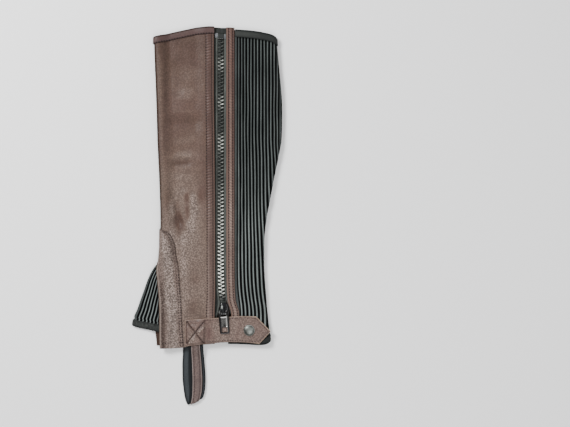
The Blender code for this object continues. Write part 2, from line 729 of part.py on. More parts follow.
def make_zip(collection):
    """Tapes, the band across their top ends, the toothed chain and its end box."""
    heights = np.array([5.5, 14.0, 24.0, 34.0, 39.0, 44.0, 48.0, 53.0, 57.5, 62.0, 68.0, 75.0,
                        88.0, 110.0, 150.0, 194.0, 230.0, 270.0, 305.0, 340.0, 380.0, 415.5])
    front_in = through(TAPE_EDGES, 1, heights)
    front_out = through(ZIP_LINES, 2, heights) - TAPE_TUCK
    back_in = through(TAPE_EDGES, 2, heights)
    back_out = through(ZIP_LINES, 3, heights) + TAPE_TUCK
    front = np.stack([stack(front_out, heights, TAPE_LOW), stack(front_in, heights, TAPE_LOW)], 1)
    back = np.stack([stack(back_in, heights, TAPE_LOW), stack(back_out, heights, TAPE_LOW)], 1)
    sheet("zip_tape_front", front, TAPE, "zip_tape", collection)
    sheet("zip_tape_back", back, TAPE, "zip_tape", collection)
    band = np.array([[(-17.0, 415.9, TAPE_LOW), (16.0, 415.9, TAPE_LOW)],
                     [(-17.0, BAND_TOP, TAPE_LOW), (16.0, BAND_TOP, TAPE_LOW)]])
    sheet("zip_top_band", band, TAPE, "binding_knit", collection)
    spans = np.concatenate([[CHAIN_BOTTOM, 64.0, 69.0, 75.0, 82.0, 90.0, 110.0],
                            np.linspace(150.0, CHAIN_TOP, 6)])
    teeth = through(ZIP_LINES, 1, spans)
    chain = np.stack([stack(teeth - CHAIN_HALF, spans, CHAIN_LOW),
                      stack(teeth + CHAIN_HALF, spans, CHAIN_LOW)], 1)
    item = sheet("zip_chain", chain, CHAIN_THICK, "zip_plastic", collection)
    round_edges(item, 0.8, segments=1)
    box("zip_box", (-CHAIN_HALF, CHAIN_TOP + GAP, CHAIN_LOW), (CHAIN_HALF, BOX_TOP, 6.1),
        "zip_plastic", collection, bevel=0.6)


def taper(item, end, factor):
    """Scale an object's points across on its upper or lower side along the leg."""
    for vertex in item.data.vertices:
        if vertex.co.y * end > 0.0:
            vertex.co.x *= factor


def make_slider(collection, tools):
    """Zip slider flared toward its foot, with a lug that bridges the pull tab's bar."""
    half = SLIDER_WIDE / 2.0
    body = box("zip_slider", (SLIDER_MIDDLE - half, SLIDER_BOTTOM, SLIDER_LOW),
               (SLIDER_MIDDLE + half, SLIDER_TOP, SLIDER_HIGH), "slider_enamel", collection)
    taper(body, 1.0, SLIDER_NARROW / SLIDER_WIDE)
    round_edges(body, 1.3, segments=3)
    x, y, z = TAB_AXIS
    lug = box("slider_lug", (x - 1.6, y - 5.2, SLIDER_HIGH - 1.2), (x + 1.6, y + 5.4, z + 2.7),
              "slider_enamel", tools)
    round_edges(lug, 0.7, segments=2)
    eye = box("slider_eye", (x - 4.0, y - 2.9, SLIDER_HIGH - 0.001), (x + 4.0, y + 3.0, z + 1.5),
              "slider_enamel", tools)
    cut_with(lug, eye, "DIFFERENCE")
    cut_with(body, lug, "UNION")


def make_pull_tab(collection, tools):
    """Flat metal tab: a bar in the slider's lug, side arms, a plate and a window at its foot."""
    half = TAB_WIDTH_TOP / 2.0
    thick = TAB_THICK / 2.0
    x, y, z = TAB_AXIS
    tab = box("pull_tab", (x - half, y - TAB_LENGTH, z - thick), (x + half, y + TAB_BAR, z + thick),
              "dark_metal", collection)
    middle = np.array([0.0, (TAB_BAR - TAB_LENGTH) / 2.0 * MM, 0.0])
    for vertex in tab.data.vertices:
        if vertex.co.y < 0.0:
            vertex.co.x *= TAB_WIDTH_FOOT / TAB_WIDTH_TOP
        vertex.co.y += middle[1]
    tab.location = to_world(TAB_AXIS)
    tab.rotation_euler = (0.0, 0.0, math.radians(TAB_YAW))
    windows = {"tab_eye": (3.7, -6.6, -TAB_BAR), "tab_window": (3.9, -27.4, -20.8)}
    for name, (reach, low, high) in windows.items():
        cutter = box(name, (-reach, low, -2.0), (reach, high, 2.0), "dark_metal", tools)
        round_edges(cutter, 0.8, segments=2)
        cutter.location = (0.0, (low + high) / 2.0 * MM, 0.0)
        cutter.parent = tab
        cut_with(tab, cutter, "DIFFERENCE")
    round_edges(tab, 0.35, segments=2)


def make_snap(collection):
    """Domed cap of the snap, turned about its own axis."""
    base = STRAP_LOW + LEATHER + GAP
    profile = [(0.0, 2.2), (2.6, 2.1), (4.9, 1.75), (6.5, 1.15), (6.9, 0.75), (SNAP_RADIUS, 0.55),
               (SNAP_RADIUS, 0.0), (0.0, 0.0)]
    points = [(radius * MM, 0.0, level * MM) for radius, level in profile]
    mesh = bpy.data.meshes.new("snap_cap")
    mesh.from_pydata(points, [(k, k + 1) for k in range(len(points) - 1)], [])
    item = bpy.data.objects.new("snap_cap", mesh)
    item.location = to_world((SNAP_PLACE[0], SNAP_PLACE[1], base))
    screw = item.modifiers.new("turning", "SCREW")
    screw.steps = 32
    screw.render_steps = 32
    screw.use_merge_vertices = True
    screw.merge_threshold = 0.00001
    return finish(item, "aged_nickel", collection)


def make_ankle_patch(collection):
    """Reinforcing leather over the ankle, turned round the front fold above the slit."""
    heights = [height for height in LEATHER_HEIGHTS if height < 140.0]
    heights += [144.3, 149.0, 152.0, 154.0, 154.7, 155.2]
    columns = np.array([0.58, 0.64, 0.69, 0.73, 0.77, 0.82, 0.87, 0.91, 0.955, 1.0, 1.25, 1.5,
                        1.75, 2.0, 2.25, 2.45])
    order = np.arange(len(columns))
    closest = 0.3
    inner = []
    top = []
    for height in heights:
        share = max(leather_share(height), 0.0)
        row = leather_row(share)
        width = row["rim"] - row["ridge"]
        arc = math.pi / 2.0 * FOLD_HALF
        edge = -60.0
        for _ in range(4):
            edge = float(through(PATCH_EDGE, 1, leather_height(edge, share)))
        if edge >= row["ridge"]:
            right = row["rim"] - edge
        else:
            lean = math.acos(min((row["ridge"] - edge) / FOLD_HALF, 1.0))
            right = width + arc * (1.0 - lean / (math.pi / 2.0))
        if row["opened"] > 0.5:
            left = width + arc * (1.0 - 1.2 / FOLD_HALF)
        else:
            left = width + arc * (1.0 + blend(-0.15, 0.42, float(smooth(height, 112.5, 127.0))))
        runs = np.where(columns <= 1.0, columns * width, width + (columns - 1.0) * arc)
        runs = np.minimum(runs, left - closest * order[::-1])
        runs = np.maximum(runs, right + closest * order)
        runs[-1] = left
        places = np.where(runs <= width, runs / width, 1.0 + (runs - width) / arc)
        _, outer, outward = leather_surface(places, share)
        inner.append(outer + PATCH_GAP * outward)
        top.append(outer + (PATCH_GAP + STRIP) * outward)
    numbers = np.arange(len(heights) * len(columns)).reshape(len(heights), -1)
    return wall("ankle_patch", np.concatenate(inner), np.concatenate(top), [numbers],
                "brown_leather", collection)


GUSSET_WALL = 1.2
GUSSET_HEIGHT = 3.0
GUSSET_TUCK = -75.0
GUSSET_RIBS = 8
GUSSET_RIB_RISE = 0.9
GUSSET_PITCH_LOW = 5.1
GUSSET_PITCH_HIGH = 3.3
GUSSET_EDGE_LOW = 5.0
GUSSET_EDGE_HIGH = 3.4
GUSSET_TOP = 108.4
GUSSET_SHARES = [0.0, 0.1, 0.135, 0.24, 0.36, 0.49, 0.62, 0.75, 0.88, 1.0]
GUSSET_UNDER = [-99.0, -96.0, -93.0, -90.0, -84.0, GUSSET_TUCK]


def gusset_height(across, share):
    """Height at a share of the way from the gusset's lower edge to its tip."""
    hem = through(GUSSET_HEM, 1, across)
    return hem + share * (GUSSET_TOP - hem)


def gusset_floor(across):
    """Level of the gusset's underside: on the surface outside, on the leather further in."""
    return 2.15 * smooth(across, -97.5, -90.0)


def gusset_row(share):
    """Outer face of the folded gusset along one row, from its upper tuck to its lower one."""
    fold = -100.0
    for _ in range(6):
        fold = float(through(GUSSET_FOLD, 1, gusset_height(fold, share)))
    if share < GUSSET_SHARES[2]:
        fold += BINDING_STEP
    reach = GUSSET_TUCK - fold
    half = GUSSET_HEIGHT / 2.0
    pitch = blend(GUSSET_PITCH_LOW, GUSSET_PITCH_HIGH, share)
    first = blend(GUSSET_EDGE_LOW, GUSSET_EDGE_HIGH, share)
    depths = [half]
    rises = [0.0]
    for rib in range(GUSSET_RIBS):
        start = first + rib * pitch
        depths += [start, start + 0.3 * pitch, start + 0.7 * pitch]
        rises += [0.0, 1.0, 1.0]
    depths.append(first + GUSSET_RIBS * pitch)
    rises.append(0.0)
    depths = np.array(depths)
    count = len(depths)
    depths = np.minimum(depths, reach - 0.35 * (count - 1 - np.arange(count)))
    x = fold + depths
    cut = through(FOLDS, 1, gusset_height(x, share))
    rises = np.array(rises) * smooth(x, cut + 3.0, cut + 1.0)
    z = gusset_floor(x) + GUSSET_HEIGHT
    angle = np.radians([135.0, 180.0, 225.0])
    turn_x = fold + half + half * np.cos(angle)
    turn_z = gusset_floor(fold) + half + half * np.sin(angle)
    under = np.maximum(GUSSET_UNDER, fold + half + np.linspace(0.5, 3.0, len(GUSSET_UNDER)))
    under = np.concatenate([[fold + half], under])
    out_x = np.concatenate([np.zeros(count), np.cos(angle), np.zeros(len(under))])
    out_z = np.concatenate([np.ones(count), np.sin(angle), -np.ones(len(under))])
    x = np.concatenate([x[::-1], turn_x, under])
    z = np.concatenate([z[::-1], turn_z, gusset_floor(under)])
    rises = np.concatenate([rises[::-1], np.zeros(3 + len(under))])
    return stack(x, gusset_height(x, share), z), stack(out_x, 0.0, out_z), rises


def make_gusset(collection):
    """Ribbed elastic folded in two and set into the instep slit."""
    inner = []
    outer = []
    for share in GUSSET_SHARES:
        points, outward, rises = gusset_row(share)
        rise = 0.0 if share < GUSSET_SHARES[2] else GUSSET_RIB_RISE
        inner.append(points - GUSSET_WALL * outward)
        outer.append(points + rise * rises[:, None] * outward)
    numbers = np.arange(len(GUSSET_SHARES) * len(inner[0])).reshape(len(GUSSET_SHARES), -1)
    return wall("gusset", np.concatenate(inner), np.concatenate(outer), [numbers],
                "ribbed_elastic", collection)


def make_gusset_binding(collection):
    """Knit binding along the gusset's lower edge, over both layers and round their fold."""
    rim, rim_out, _ = gusset_row(0.0)
    edge, edge_out, _ = gusset_row(GUSSET_SHARES[1])
    upper = 2 + 3 * GUSSET_RIBS
    keep = np.array([k for k in range(upper) if k % 3 == 0] + [upper - 1, upper, upper + 1])
    keep = keep[rim[keep][:, 0] < -80.0]
    grid = rim_cover(rim[keep], rim_out[keep], edge[keep], edge_out[keep], GUSSET_HEIGHT - 0.2)
    along = rim[keep] - edge[keep]
    along = along / np.linalg.norm(along, axis=1)[:, None]
    grid[3] = rim[keep] + GAP * along
    grid[3][:, 2] = np.minimum(gusset_floor(rim[keep][:, 0]) + 0.1, grid[2][:, 2] - 0.4)
    return sheet("gusset_binding", grid, BINDING, "binding_knit", collection)


def strap_level(across, height):
    """Underside of the closing strap, draped over the foot loop's end at its stitched box."""
    level = blend(6.15, STRAP_LOW, smooth(across, -33.0, -20.6))
    over_x = smooth(across, -47.2, -43.4) * smooth(across, -20.4, -22.4)
    over_loop = over_x * smooth(height, 30.5, 25.0)
    strip_x = smooth(across, -44.0, -40.2) * smooth(across, -22.0, -26.2)
    over_strip = strip_x * smooth(height, 16.5, 9.5)
    level = np.maximum(level, blend(level, 7.7, over_loop))
    return np.maximum(level, blend(level, 9.2, over_strip))


def make_closing_strap(collection):
    """Leather strap stitched down over the loop's end, its pointed end snapped at the back."""
    table = np.array(STRAP, float)
    part = np.array([0.0, 0.12, 0.28, 0.45, 0.62, 0.8, 0.91, 1.0])
    across = np.repeat(table[:, :1], len(part), axis=1)
    height = blend(table[:, 1:2], table[:, 2:3], part[None, :])
    grid = stack(across, height, strap_level(across, height))
    return sheet("closing_strap", grid, LEATHER, "brown_leather", collection)


def loop_row_directions():
    """Outward directions of the foot loop's rows, square to the way it runs."""
    table = np.array(LOOP, float)
    run = np.gradient(table[:, :2], axis=0)
    length = np.hypot(run[:, 0], run[:, 1])
    return stack(0.0, run[:, 1] / length, -run[:, 0] / length)


def loop_points(part):
    """Middle surface of the foot loop at parts of its width."""
    table = np.array(LOOP, float)[:, None, :]
    part = np.asarray(part, float)[None, :]
    x = blend(table[..., 2], table[..., 3], part)
    y = table[..., 0] + table[..., 4] * (2.0 * part - 1.0)
    return stack(x, y, table[..., 1])


def make_foot_loop(collection):
    """Elastic that passes under the foot, with a leather strip on its outer face."""
    outward = loop_row_directions()[:, None, :]
    middle = loop_points([0.0, 0.25, 0.5, 0.75, 1.0])
    half = LOOP_THICK / 2.0
    numbers = np.arange(middle.shape[0] * middle.shape[1]).reshape(middle.shape[:2])
    inner = (middle - half * outward).reshape(-1, 3)
    outer = (middle + half * outward).reshape(-1, 3)
    wall("foot_loop", inner, outer, [numbers], "binding_knit", collection)
    first = 2
    rows = slice(first, LOOP_STRIP_ROWS)
    strip = loop_points([LOOP_STRIP_LEFT, 0.38, 0.6, LOOP_STRIP_RIGHT])[rows]
    strip = strip + (half + GAP) * outward[rows]
    sheet("loop_strip", strip, STRIP, "facing_leather", collection)


def main():
    """Build every piece of the half chap."""
    for item in list(bpy.data.objects):
        bpy.data.objects.remove(item, do_unlink=True)
    parts = bpy.data.collections.new("half_chap")
    tools = bpy.data.collections.new("cutters")
    bpy.context.scene.collection.children.link(parts)
    bpy.context.scene.collection.children.link(tools)
    make_leather_panel(parts)
    make_elastic_panel(parts)
    make_top_binding_leather(parts)
    make_elastic_bindings(parts)
    make_facings(parts)
    make_zip(parts)
    make_slider(parts, tools)
    make_pull_tab(parts, tools)
    make_snap(parts)
    make_ankle_patch(parts)
    make_gusset(parts)
    make_gusset_binding(parts)
    make_closing_strap(parts)
    make_foot_loop(parts)


main()
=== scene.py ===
import math

import bmesh
import bpy
import numpy as np
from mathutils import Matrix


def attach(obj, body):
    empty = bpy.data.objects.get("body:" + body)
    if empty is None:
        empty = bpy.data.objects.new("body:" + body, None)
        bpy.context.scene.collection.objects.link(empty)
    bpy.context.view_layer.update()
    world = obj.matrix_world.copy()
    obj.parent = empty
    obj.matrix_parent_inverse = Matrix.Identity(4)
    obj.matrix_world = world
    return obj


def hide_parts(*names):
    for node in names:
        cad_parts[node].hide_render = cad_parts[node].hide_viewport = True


# Half chap of brown leather and black ribbed elastic, laid flat with its zip side up.
# Lengths below are millimetres in the maker's frame: x across from the zip's teeth,
# y up the leg from the hem, z up from the floor. Points become metres in meshFrom.

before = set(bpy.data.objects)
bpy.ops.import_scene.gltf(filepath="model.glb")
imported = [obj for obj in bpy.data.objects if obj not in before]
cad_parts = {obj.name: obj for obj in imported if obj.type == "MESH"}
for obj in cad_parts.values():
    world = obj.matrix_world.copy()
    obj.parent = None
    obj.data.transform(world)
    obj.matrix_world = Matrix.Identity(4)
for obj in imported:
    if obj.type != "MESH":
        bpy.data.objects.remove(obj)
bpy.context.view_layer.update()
print("frame loaded")

shared = {
    "middleAcross": -18.35,  # the shared frame's origin in the maker's frame
    "middleUp": 172.88,
    "gap": 0.3,  # between pieces that are sewn together
    "leather": 1.8,  # thickness of each kind of sheet
    "elastic": 1.6,
    "strip": 1.2,
    "binding": 0.9,
    "foldHalf": 5,  # reach of the round folds
    "zipLevel": 4.6,  # underside of both walls by the zip
    "seamAcross": 18,  # of the seam on the underside
    "seamHalf": 0.15,  # half of the gap at the underside's seam
    "zipInset": 1.3,  # from a facing's edge to its panel's rim
    "bindingLap": 8.8,  # of a binding's flap over its panel
    "slitTop": 112.5,  # where the instep slit ends, and below which it is fully open
    "slitOpen": 107.5,
}

# height, front fold (below the slit the upper cut edge), back fold over the ribs
folds = [
    (-5, -80.7, 66.2), (14.6, -81.4, 65.6), (34.6, -81.4, 63.3), (61.2, -81.9, 60.8),
    (87.8, -84.2, 58.7), (101, -85.3, 57.9), (107.5, -84.6, 57.7), (112.5, -82.4, 57.7),
    (134.3, -80.5, 58), (154.3, -80.3, 59.2), (174.2, -80.4, 62), (194.2, -80.8, 65.8),
    (220.8, -81.8, 70.8), (251.4, -83.3, 77), (274, -84.2, 80.9), (313.9, -85.4, 81.9),
    (349.8, -86.7, 79.7), (380.4, -88, 76.7), (407, -88.9, 74.6), (425, -89.4, 73.2)]
# height, cut edge of the lower layer below the slit
underEdge = [(0, -85.6), (20, -87.4), (60, -86.6), (107.5, -85.2)]
# height, line of the teeth, front facing's edge, back facing's edge
zipLines = [
    (-10, 4.6, -7.6, 8.4), (5, 4.6, -7.6, 8.6), (25, 4.5, -7.6, 11.5),
    (43, 4.4, -7.6, 13.8), (55, 3.6, -7.3, 10.6), (62, 2.6, -7, 8.9), (75, 1.2, -6.9, 8),
    (88, 0.5, -6.9, 7.6), (110, 0.1, -7, 7.4), (194, 0, -7.2, 7.3), (270, 0, -7.8, 7.3),
    (340, 0, -8.6, 7.3), (430, 0, -8.6, 7.3)]
# the hem and the two panels' tops: across, height
hemLine = [
    (-92, -3.6), (-81, -3.3), (-50, -2), (-43, -0.4), (-20, 2.3), (0, 3.5), (10, 3),
    (30, 2.5), (50, 1.5), (58, 1.9), (62, 3), (65, 5.5), (68, 8)]
leatherTop = [
    (-92, 406), (-89.5, 408.2), (-86.5, 411.1), (-71, 415.2), (-49.6, 420),
    (-29.4, 423.9), (-11.6, 425.1), (-7.3, 424.6), (8, 423.2), (22, 421.5)]
elasticTop = [
    (7, 421.6), (22.6, 420.8), (36.8, 419.9), (52.4, 417.9), (67.3, 414.1),
    (72.8, 411.1), (75, 407.8)]


def smoothStep(value, low, high):  # 0 at low to 1 at high with level ends: 3p^2 - 2p^3
    part = np.clip((np.asarray(value, float) - low) / (high - low), 0, 1)
    return part * part * (3 - 2 * part)


def mix(first, second, share):  # straight line from first to second
    return first + (second - first) * share


def parts(count):  # even steps from 0 to 1
    return np.linspace(0, 1, count)


def steps(start, *legs):  # even steps along legs of (end, count), each from where the last ended
    rows = [np.array([start], float)]
    for end, count in legs:
        rows.append(np.linspace(rows[-1][-1], end, count)[1:])
    return np.concatenate(rows)


def between(value, rise, risen, fall, fallen):  # smoothStep up from rise to risen times one down
    return smoothStep(value, rise, risen) * smoothStep(value, fallen, fall)


def bell(value, middle, reach):  # exp(-((value - middle) / reach)^2)
    return np.exp(-((value - middle) / reach) ** 2)


def arch(part, power=1):  # sin(pi * part)^power
    return np.sin(part * math.pi) ** power


def spots(x, y, rows):  # sum of amount * bell across * bell up, for rows of places and reaches
    total = 0
    for placeX, placeY, reachX, reachY, amount in rows:
        total = total + amount * bell(x, placeX, reachX) * bell(y, placeY, reachY)
    return total


def turns(count):  # angles of one full turn
    return np.linspace(0, 2 * math.pi, count + 1)[:-1]


def squarish(angles, power):  # rounded square: sign * |cosine|^power and sign * |sine|^power
    waves = (np.cos(angles), np.sin(angles))
    return [np.sign(wave) * np.abs(wave) ** power for wave in waves]


def numbered(shape, closed=False):  # a grid's point numbers; a closed one returns to its start
    numbers = np.arange(shape[0] * shape[1]).reshape(shape[:2])
    return np.concatenate([numbers, numbers[:, :1]], axis=1) if closed else numbers


def curveThrough(table, column, at):  # cubic through a table's rows that never overshoots them
    rows = np.array(table, float)
    xs, ys = rows[:, 0], rows[:, column]
    widths = np.diff(xs)
    rates = np.diff(ys) / widths
    slopes = np.zeros(len(xs))
    slopes[0], slopes[-1] = rates[0], rates[-1]
    same = rates[1:] * rates[:-1] > 0
    total = np.where(same, rates[1:] + rates[:-1], 1)
    slopes[1:-1] = np.where(same, 2 * rates[1:] * rates[:-1] / total, 0)
    at = np.clip(np.asarray(at, float), xs[0], xs[-1])
    cell = np.clip(np.searchsorted(xs, at, side="right") - 1, 0, len(widths) - 1)
    wide = widths[cell]
    u = (at - xs[cell]) / wide
    start = ys[cell] * (1 + 2 * u) * (1 - u) ** 2 + slopes[cell] * wide * u * (1 - u) ** 2
    end = ys[cell + 1] * u * u * (3 - 2 * u) + slopes[cell + 1] * wide * u * u * (u - 1)
    return start + end


def unit(vectors):  # each vector over its own length
    return vectors / np.maximum(np.linalg.norm(vectors, axis=-1, keepdims=True), 1e-9)


def stack(*columns):  # coordinates joined into points
    return np.stack(np.broadcast_arrays(*columns), axis=-1).astype(float)


def runLength(points):  # length along a line of points up to each of them
    return np.concatenate([[0], np.cumsum(np.linalg.norm(np.diff(points, axis=0), axis=1))])


def gridQuads(numbers):  # the four corners of each cell of a grid of point numbers
    corners = (numbers[:-1, :-1], numbers[1:, :-1], numbers[1:, 1:], numbers[:-1, 1:])
    return np.stack([corner.ravel() for corner in corners], axis=1)


def hashNoise(x, y, seed=0):  # smooth value noise in the plane, -1 to 1, one cell per unit
    x, y = np.asarray(x, float), np.asarray(y, float)
    cellX, cellY = np.floor(x), np.floor(y)
    partX, partY = smoothStep(x - cellX, 0, 1), smoothStep(y - cellY, 0, 1)

    def corner(stepX, stepY):
        wave = np.sin((cellX + stepX) * 127.1 + (cellY + stepY) * 311.7 + seed * 74.7) * 43758.5453
        return wave - np.floor(wave)

    low = mix(corner(0, 0), corner(1, 0), partX)
    high = mix(corner(0, 1), corner(1, 1), partX)
    return 2 * mix(low, high, partY) - 1


def outwards(points, quads):
    # faces, turned round where the enclosed volume, sum(a . (b x c) + a . (c x d)), is negative
    a, b, c, d = (points[quads[:, k]] for k in range(4))
    volume = np.einsum("ij,ij->", a, np.cross(b, c)) + np.einsum("ij,ij->", a, np.cross(c, d))
    return quads[:, ::-1] if volume < 0 else quads


def meshFrom(name, points, quads, material, floats=None, uv=None, sharp=50, poles=False):
    # a mesh object from maker's points and four-sided faces; with poles, the points of a ring
    # that shrank to one place become one, so that its end is closed
    points = np.asarray(points, float).reshape(-1, 3)
    quads = outwards(points, np.asarray(quads, int))
    mesh = bpy.data.meshes.new(name)
    mesh.vertices.add(len(points))
    shift = np.array([shared["middleAcross"], shared["middleUp"], 0])
    mesh.vertices.foreach_set("co", ((points - shift) * 0.001).ravel())
    mesh.loops.add(quads.size)
    mesh.loops.foreach_set("vertex_index", quads.ravel())
    mesh.polygons.add(len(quads))
    mesh.polygons.foreach_set("loop_start", np.arange(len(quads)) * 4)
    mesh.update(calc_edges=True)
    floats = dict(floats or {})
    # pieces with painted shade also get the painted sheen, plus their own extra
    if "paintedShade" in floats:
        extra = np.ravel(floats.pop("extraPaintedSheen", 0))
        floats["paintedSheen"] = np.clip(paintedSheenAt(points) * paintedSheenShares.get(name, 1) + extra, 0, 1)
    for key, values in floats.items():
        layer = mesh.attributes.new(key, "FLOAT", "POINT")
        layer.data.foreach_set("value", np.asarray(values, np.float32).ravel())
    if uv is not None:
        layer = mesh.uv_layers.new(name="UVMap")
        layer.data.foreach_set("uv", np.asarray(uv, float).reshape(-1, 2)[quads.ravel()].ravel())
    mesh.validate()
    if poles:
        work = bmesh.new()
        work.from_mesh(mesh)
        bmesh.ops.remove_doubles(work, verts=work.verts, dist=1e-7)
        work.to_mesh(mesh)
        work.free()
    mesh.shade_smooth()
    mesh.set_sharp_from_angle(angle=math.radians(sharp))
    mesh.materials.append(material)
    item = bpy.data.objects.new(name, mesh)
    bpy.context.scene.collection.objects.link(item)
    return item


def shell(name, inner, outer, material, floats=None, uv=None, sharp=50, grids=None):
    # closed wall: outer faces, inner faces turned over, and a strip along every open rim
    size, count = inner.shape[:-1], inner.size // 3
    quads = np.concatenate([gridQuads(grid) for grid in grids or [numbered(size)]])
    edges = np.concatenate([quads[:, [k, (k + 1) % 4]] for k in range(4)])
    keys, backs = (edges[:, k] * count + edges[:, 1 - k] for k in (0, 1))
    rims = edges[~np.isin(keys, backs)]
    walls = np.stack([rims[:, 1] + count, rims[:, 0] + count, rims[:, 0], rims[:, 1]], axis=1)
    faces = np.concatenate([quads + count, quads[:, ::-1], walls])
    points = np.concatenate([inner.reshape(-1, 3), outer.reshape(-1, 3)])
    floats = {key: np.tile(np.broadcast_to(values, size).ravel(), 2)
              for key, values in floats.items()}
    uv = None if uv is None else np.tile(uv.reshape(-1, 2), (2, 1))
    return meshFrom(name, points, faces, material, floats, uv, sharp)


# Materials -----------------------------------------------------------------------------------


def addNode(tree, kind, inputs=None, **settings):
    # one node; its inputs are plain values, or sockets to link
    node = tree.nodes.new("ShaderNode" + kind)
    for key, value in settings.items():
        setattr(node, key, value)
    for key, value in (inputs or {}).items():
        if isinstance(value, bpy.types.NodeSocket):
            tree.links.new(value, node.inputs[key])
        else:
            node.inputs[key].default_value = value
    return node


def newMaterial(name, **fixed):
    # principled material whose fixed sockets are set directly, and its tree
    material = bpy.data.materials.new(name)
    material.use_nodes = True
    tree = material.node_tree
    for key, value in fixed.items():
        tree.nodes["Principled BSDF"].inputs[key].default_value = value
    addNode(tree, "TexCoord").name = "place"
    return material, tree


def feed(tree, key, value):  # a value into one of the shader's sockets
    tree.links.new(value, tree.nodes["Principled BSDF"].inputs[key])


def noise(tree, scale, detail, roughness=0.5, output="Fac"):  # scale: cells in a metre
    inputs = {"Vector": tree.nodes["place"].outputs["Object"], "Scale": scale, "Detail": detail,
              "Roughness": roughness}
    return addNode(tree, "TexNoise", inputs).outputs[output]


def bands(tree, vector, scale, direction, distortion, detail, detailScale=1):  # wavy stripes
    inputs = {"Vector": vector, "Scale": scale, "Distortion": distortion, "Detail": detail,
              "Detail Scale": detailScale}
    node = addNode(tree, "TexWave", inputs, wave_type="BANDS", bands_direction=direction)
    return node.outputs["Fac"]


def blend(tree, factor, first, second):  # from the first colour to the second
    first, second = (c + (1,) if isinstance(c, tuple) else c for c in (first, second))
    return addNode(tree, "Mix", {0: factor, 6: first, 7: second}, data_type="RGBA").outputs[2]


def scaleTo(tree, value, fromLow, fromHigh, toLow, toHigh):  # straight from one span to another
    node = addNode(tree, "MapRange", {0: value, 1: fromLow, 2: fromHigh, 3: toLow, 4: toHigh})
    return node.outputs[0]


def times(tree, first, second, operation="MULTIPLY"):  # first * second
    return addNode(tree, "Math", {0: first, 1: second}, operation=operation).outputs[0]


def plus(tree, first, second):  # first + second
    return times(tree, first, second, "ADD")


def scaled(tree, colour, share):  # every part of a colour times the share
    return addNode(tree, "VectorMath", {0: colour, "Scale": share}, operation="SCALE").outputs[0]


def attribute(tree, name):  # a piece's own value at each point
    return addNode(tree, "Attribute", attribute_name=name).outputs["Fac"]


def bumped(tree, height, strength=1, distance=0.001):  # the shader's normal over a height
    inputs = {"Height": height, "Distance": distance, "Strength": strength}
    feed(tree, "Normal", addNode(tree, "Bump", inputs).outputs[0])


leatherLook = {
    "pebble": 1.95,  # mm between the pebbles
    "pebbleDepth": 0.3,  # mm
    "fleck": 2.6,  # mm between groups of lit pebbles
    "pit": 2.4,  # mm between the deeper dents
    "fleckDepth": 0.25,
    "mottle": 10,
    "patch": 70,
}


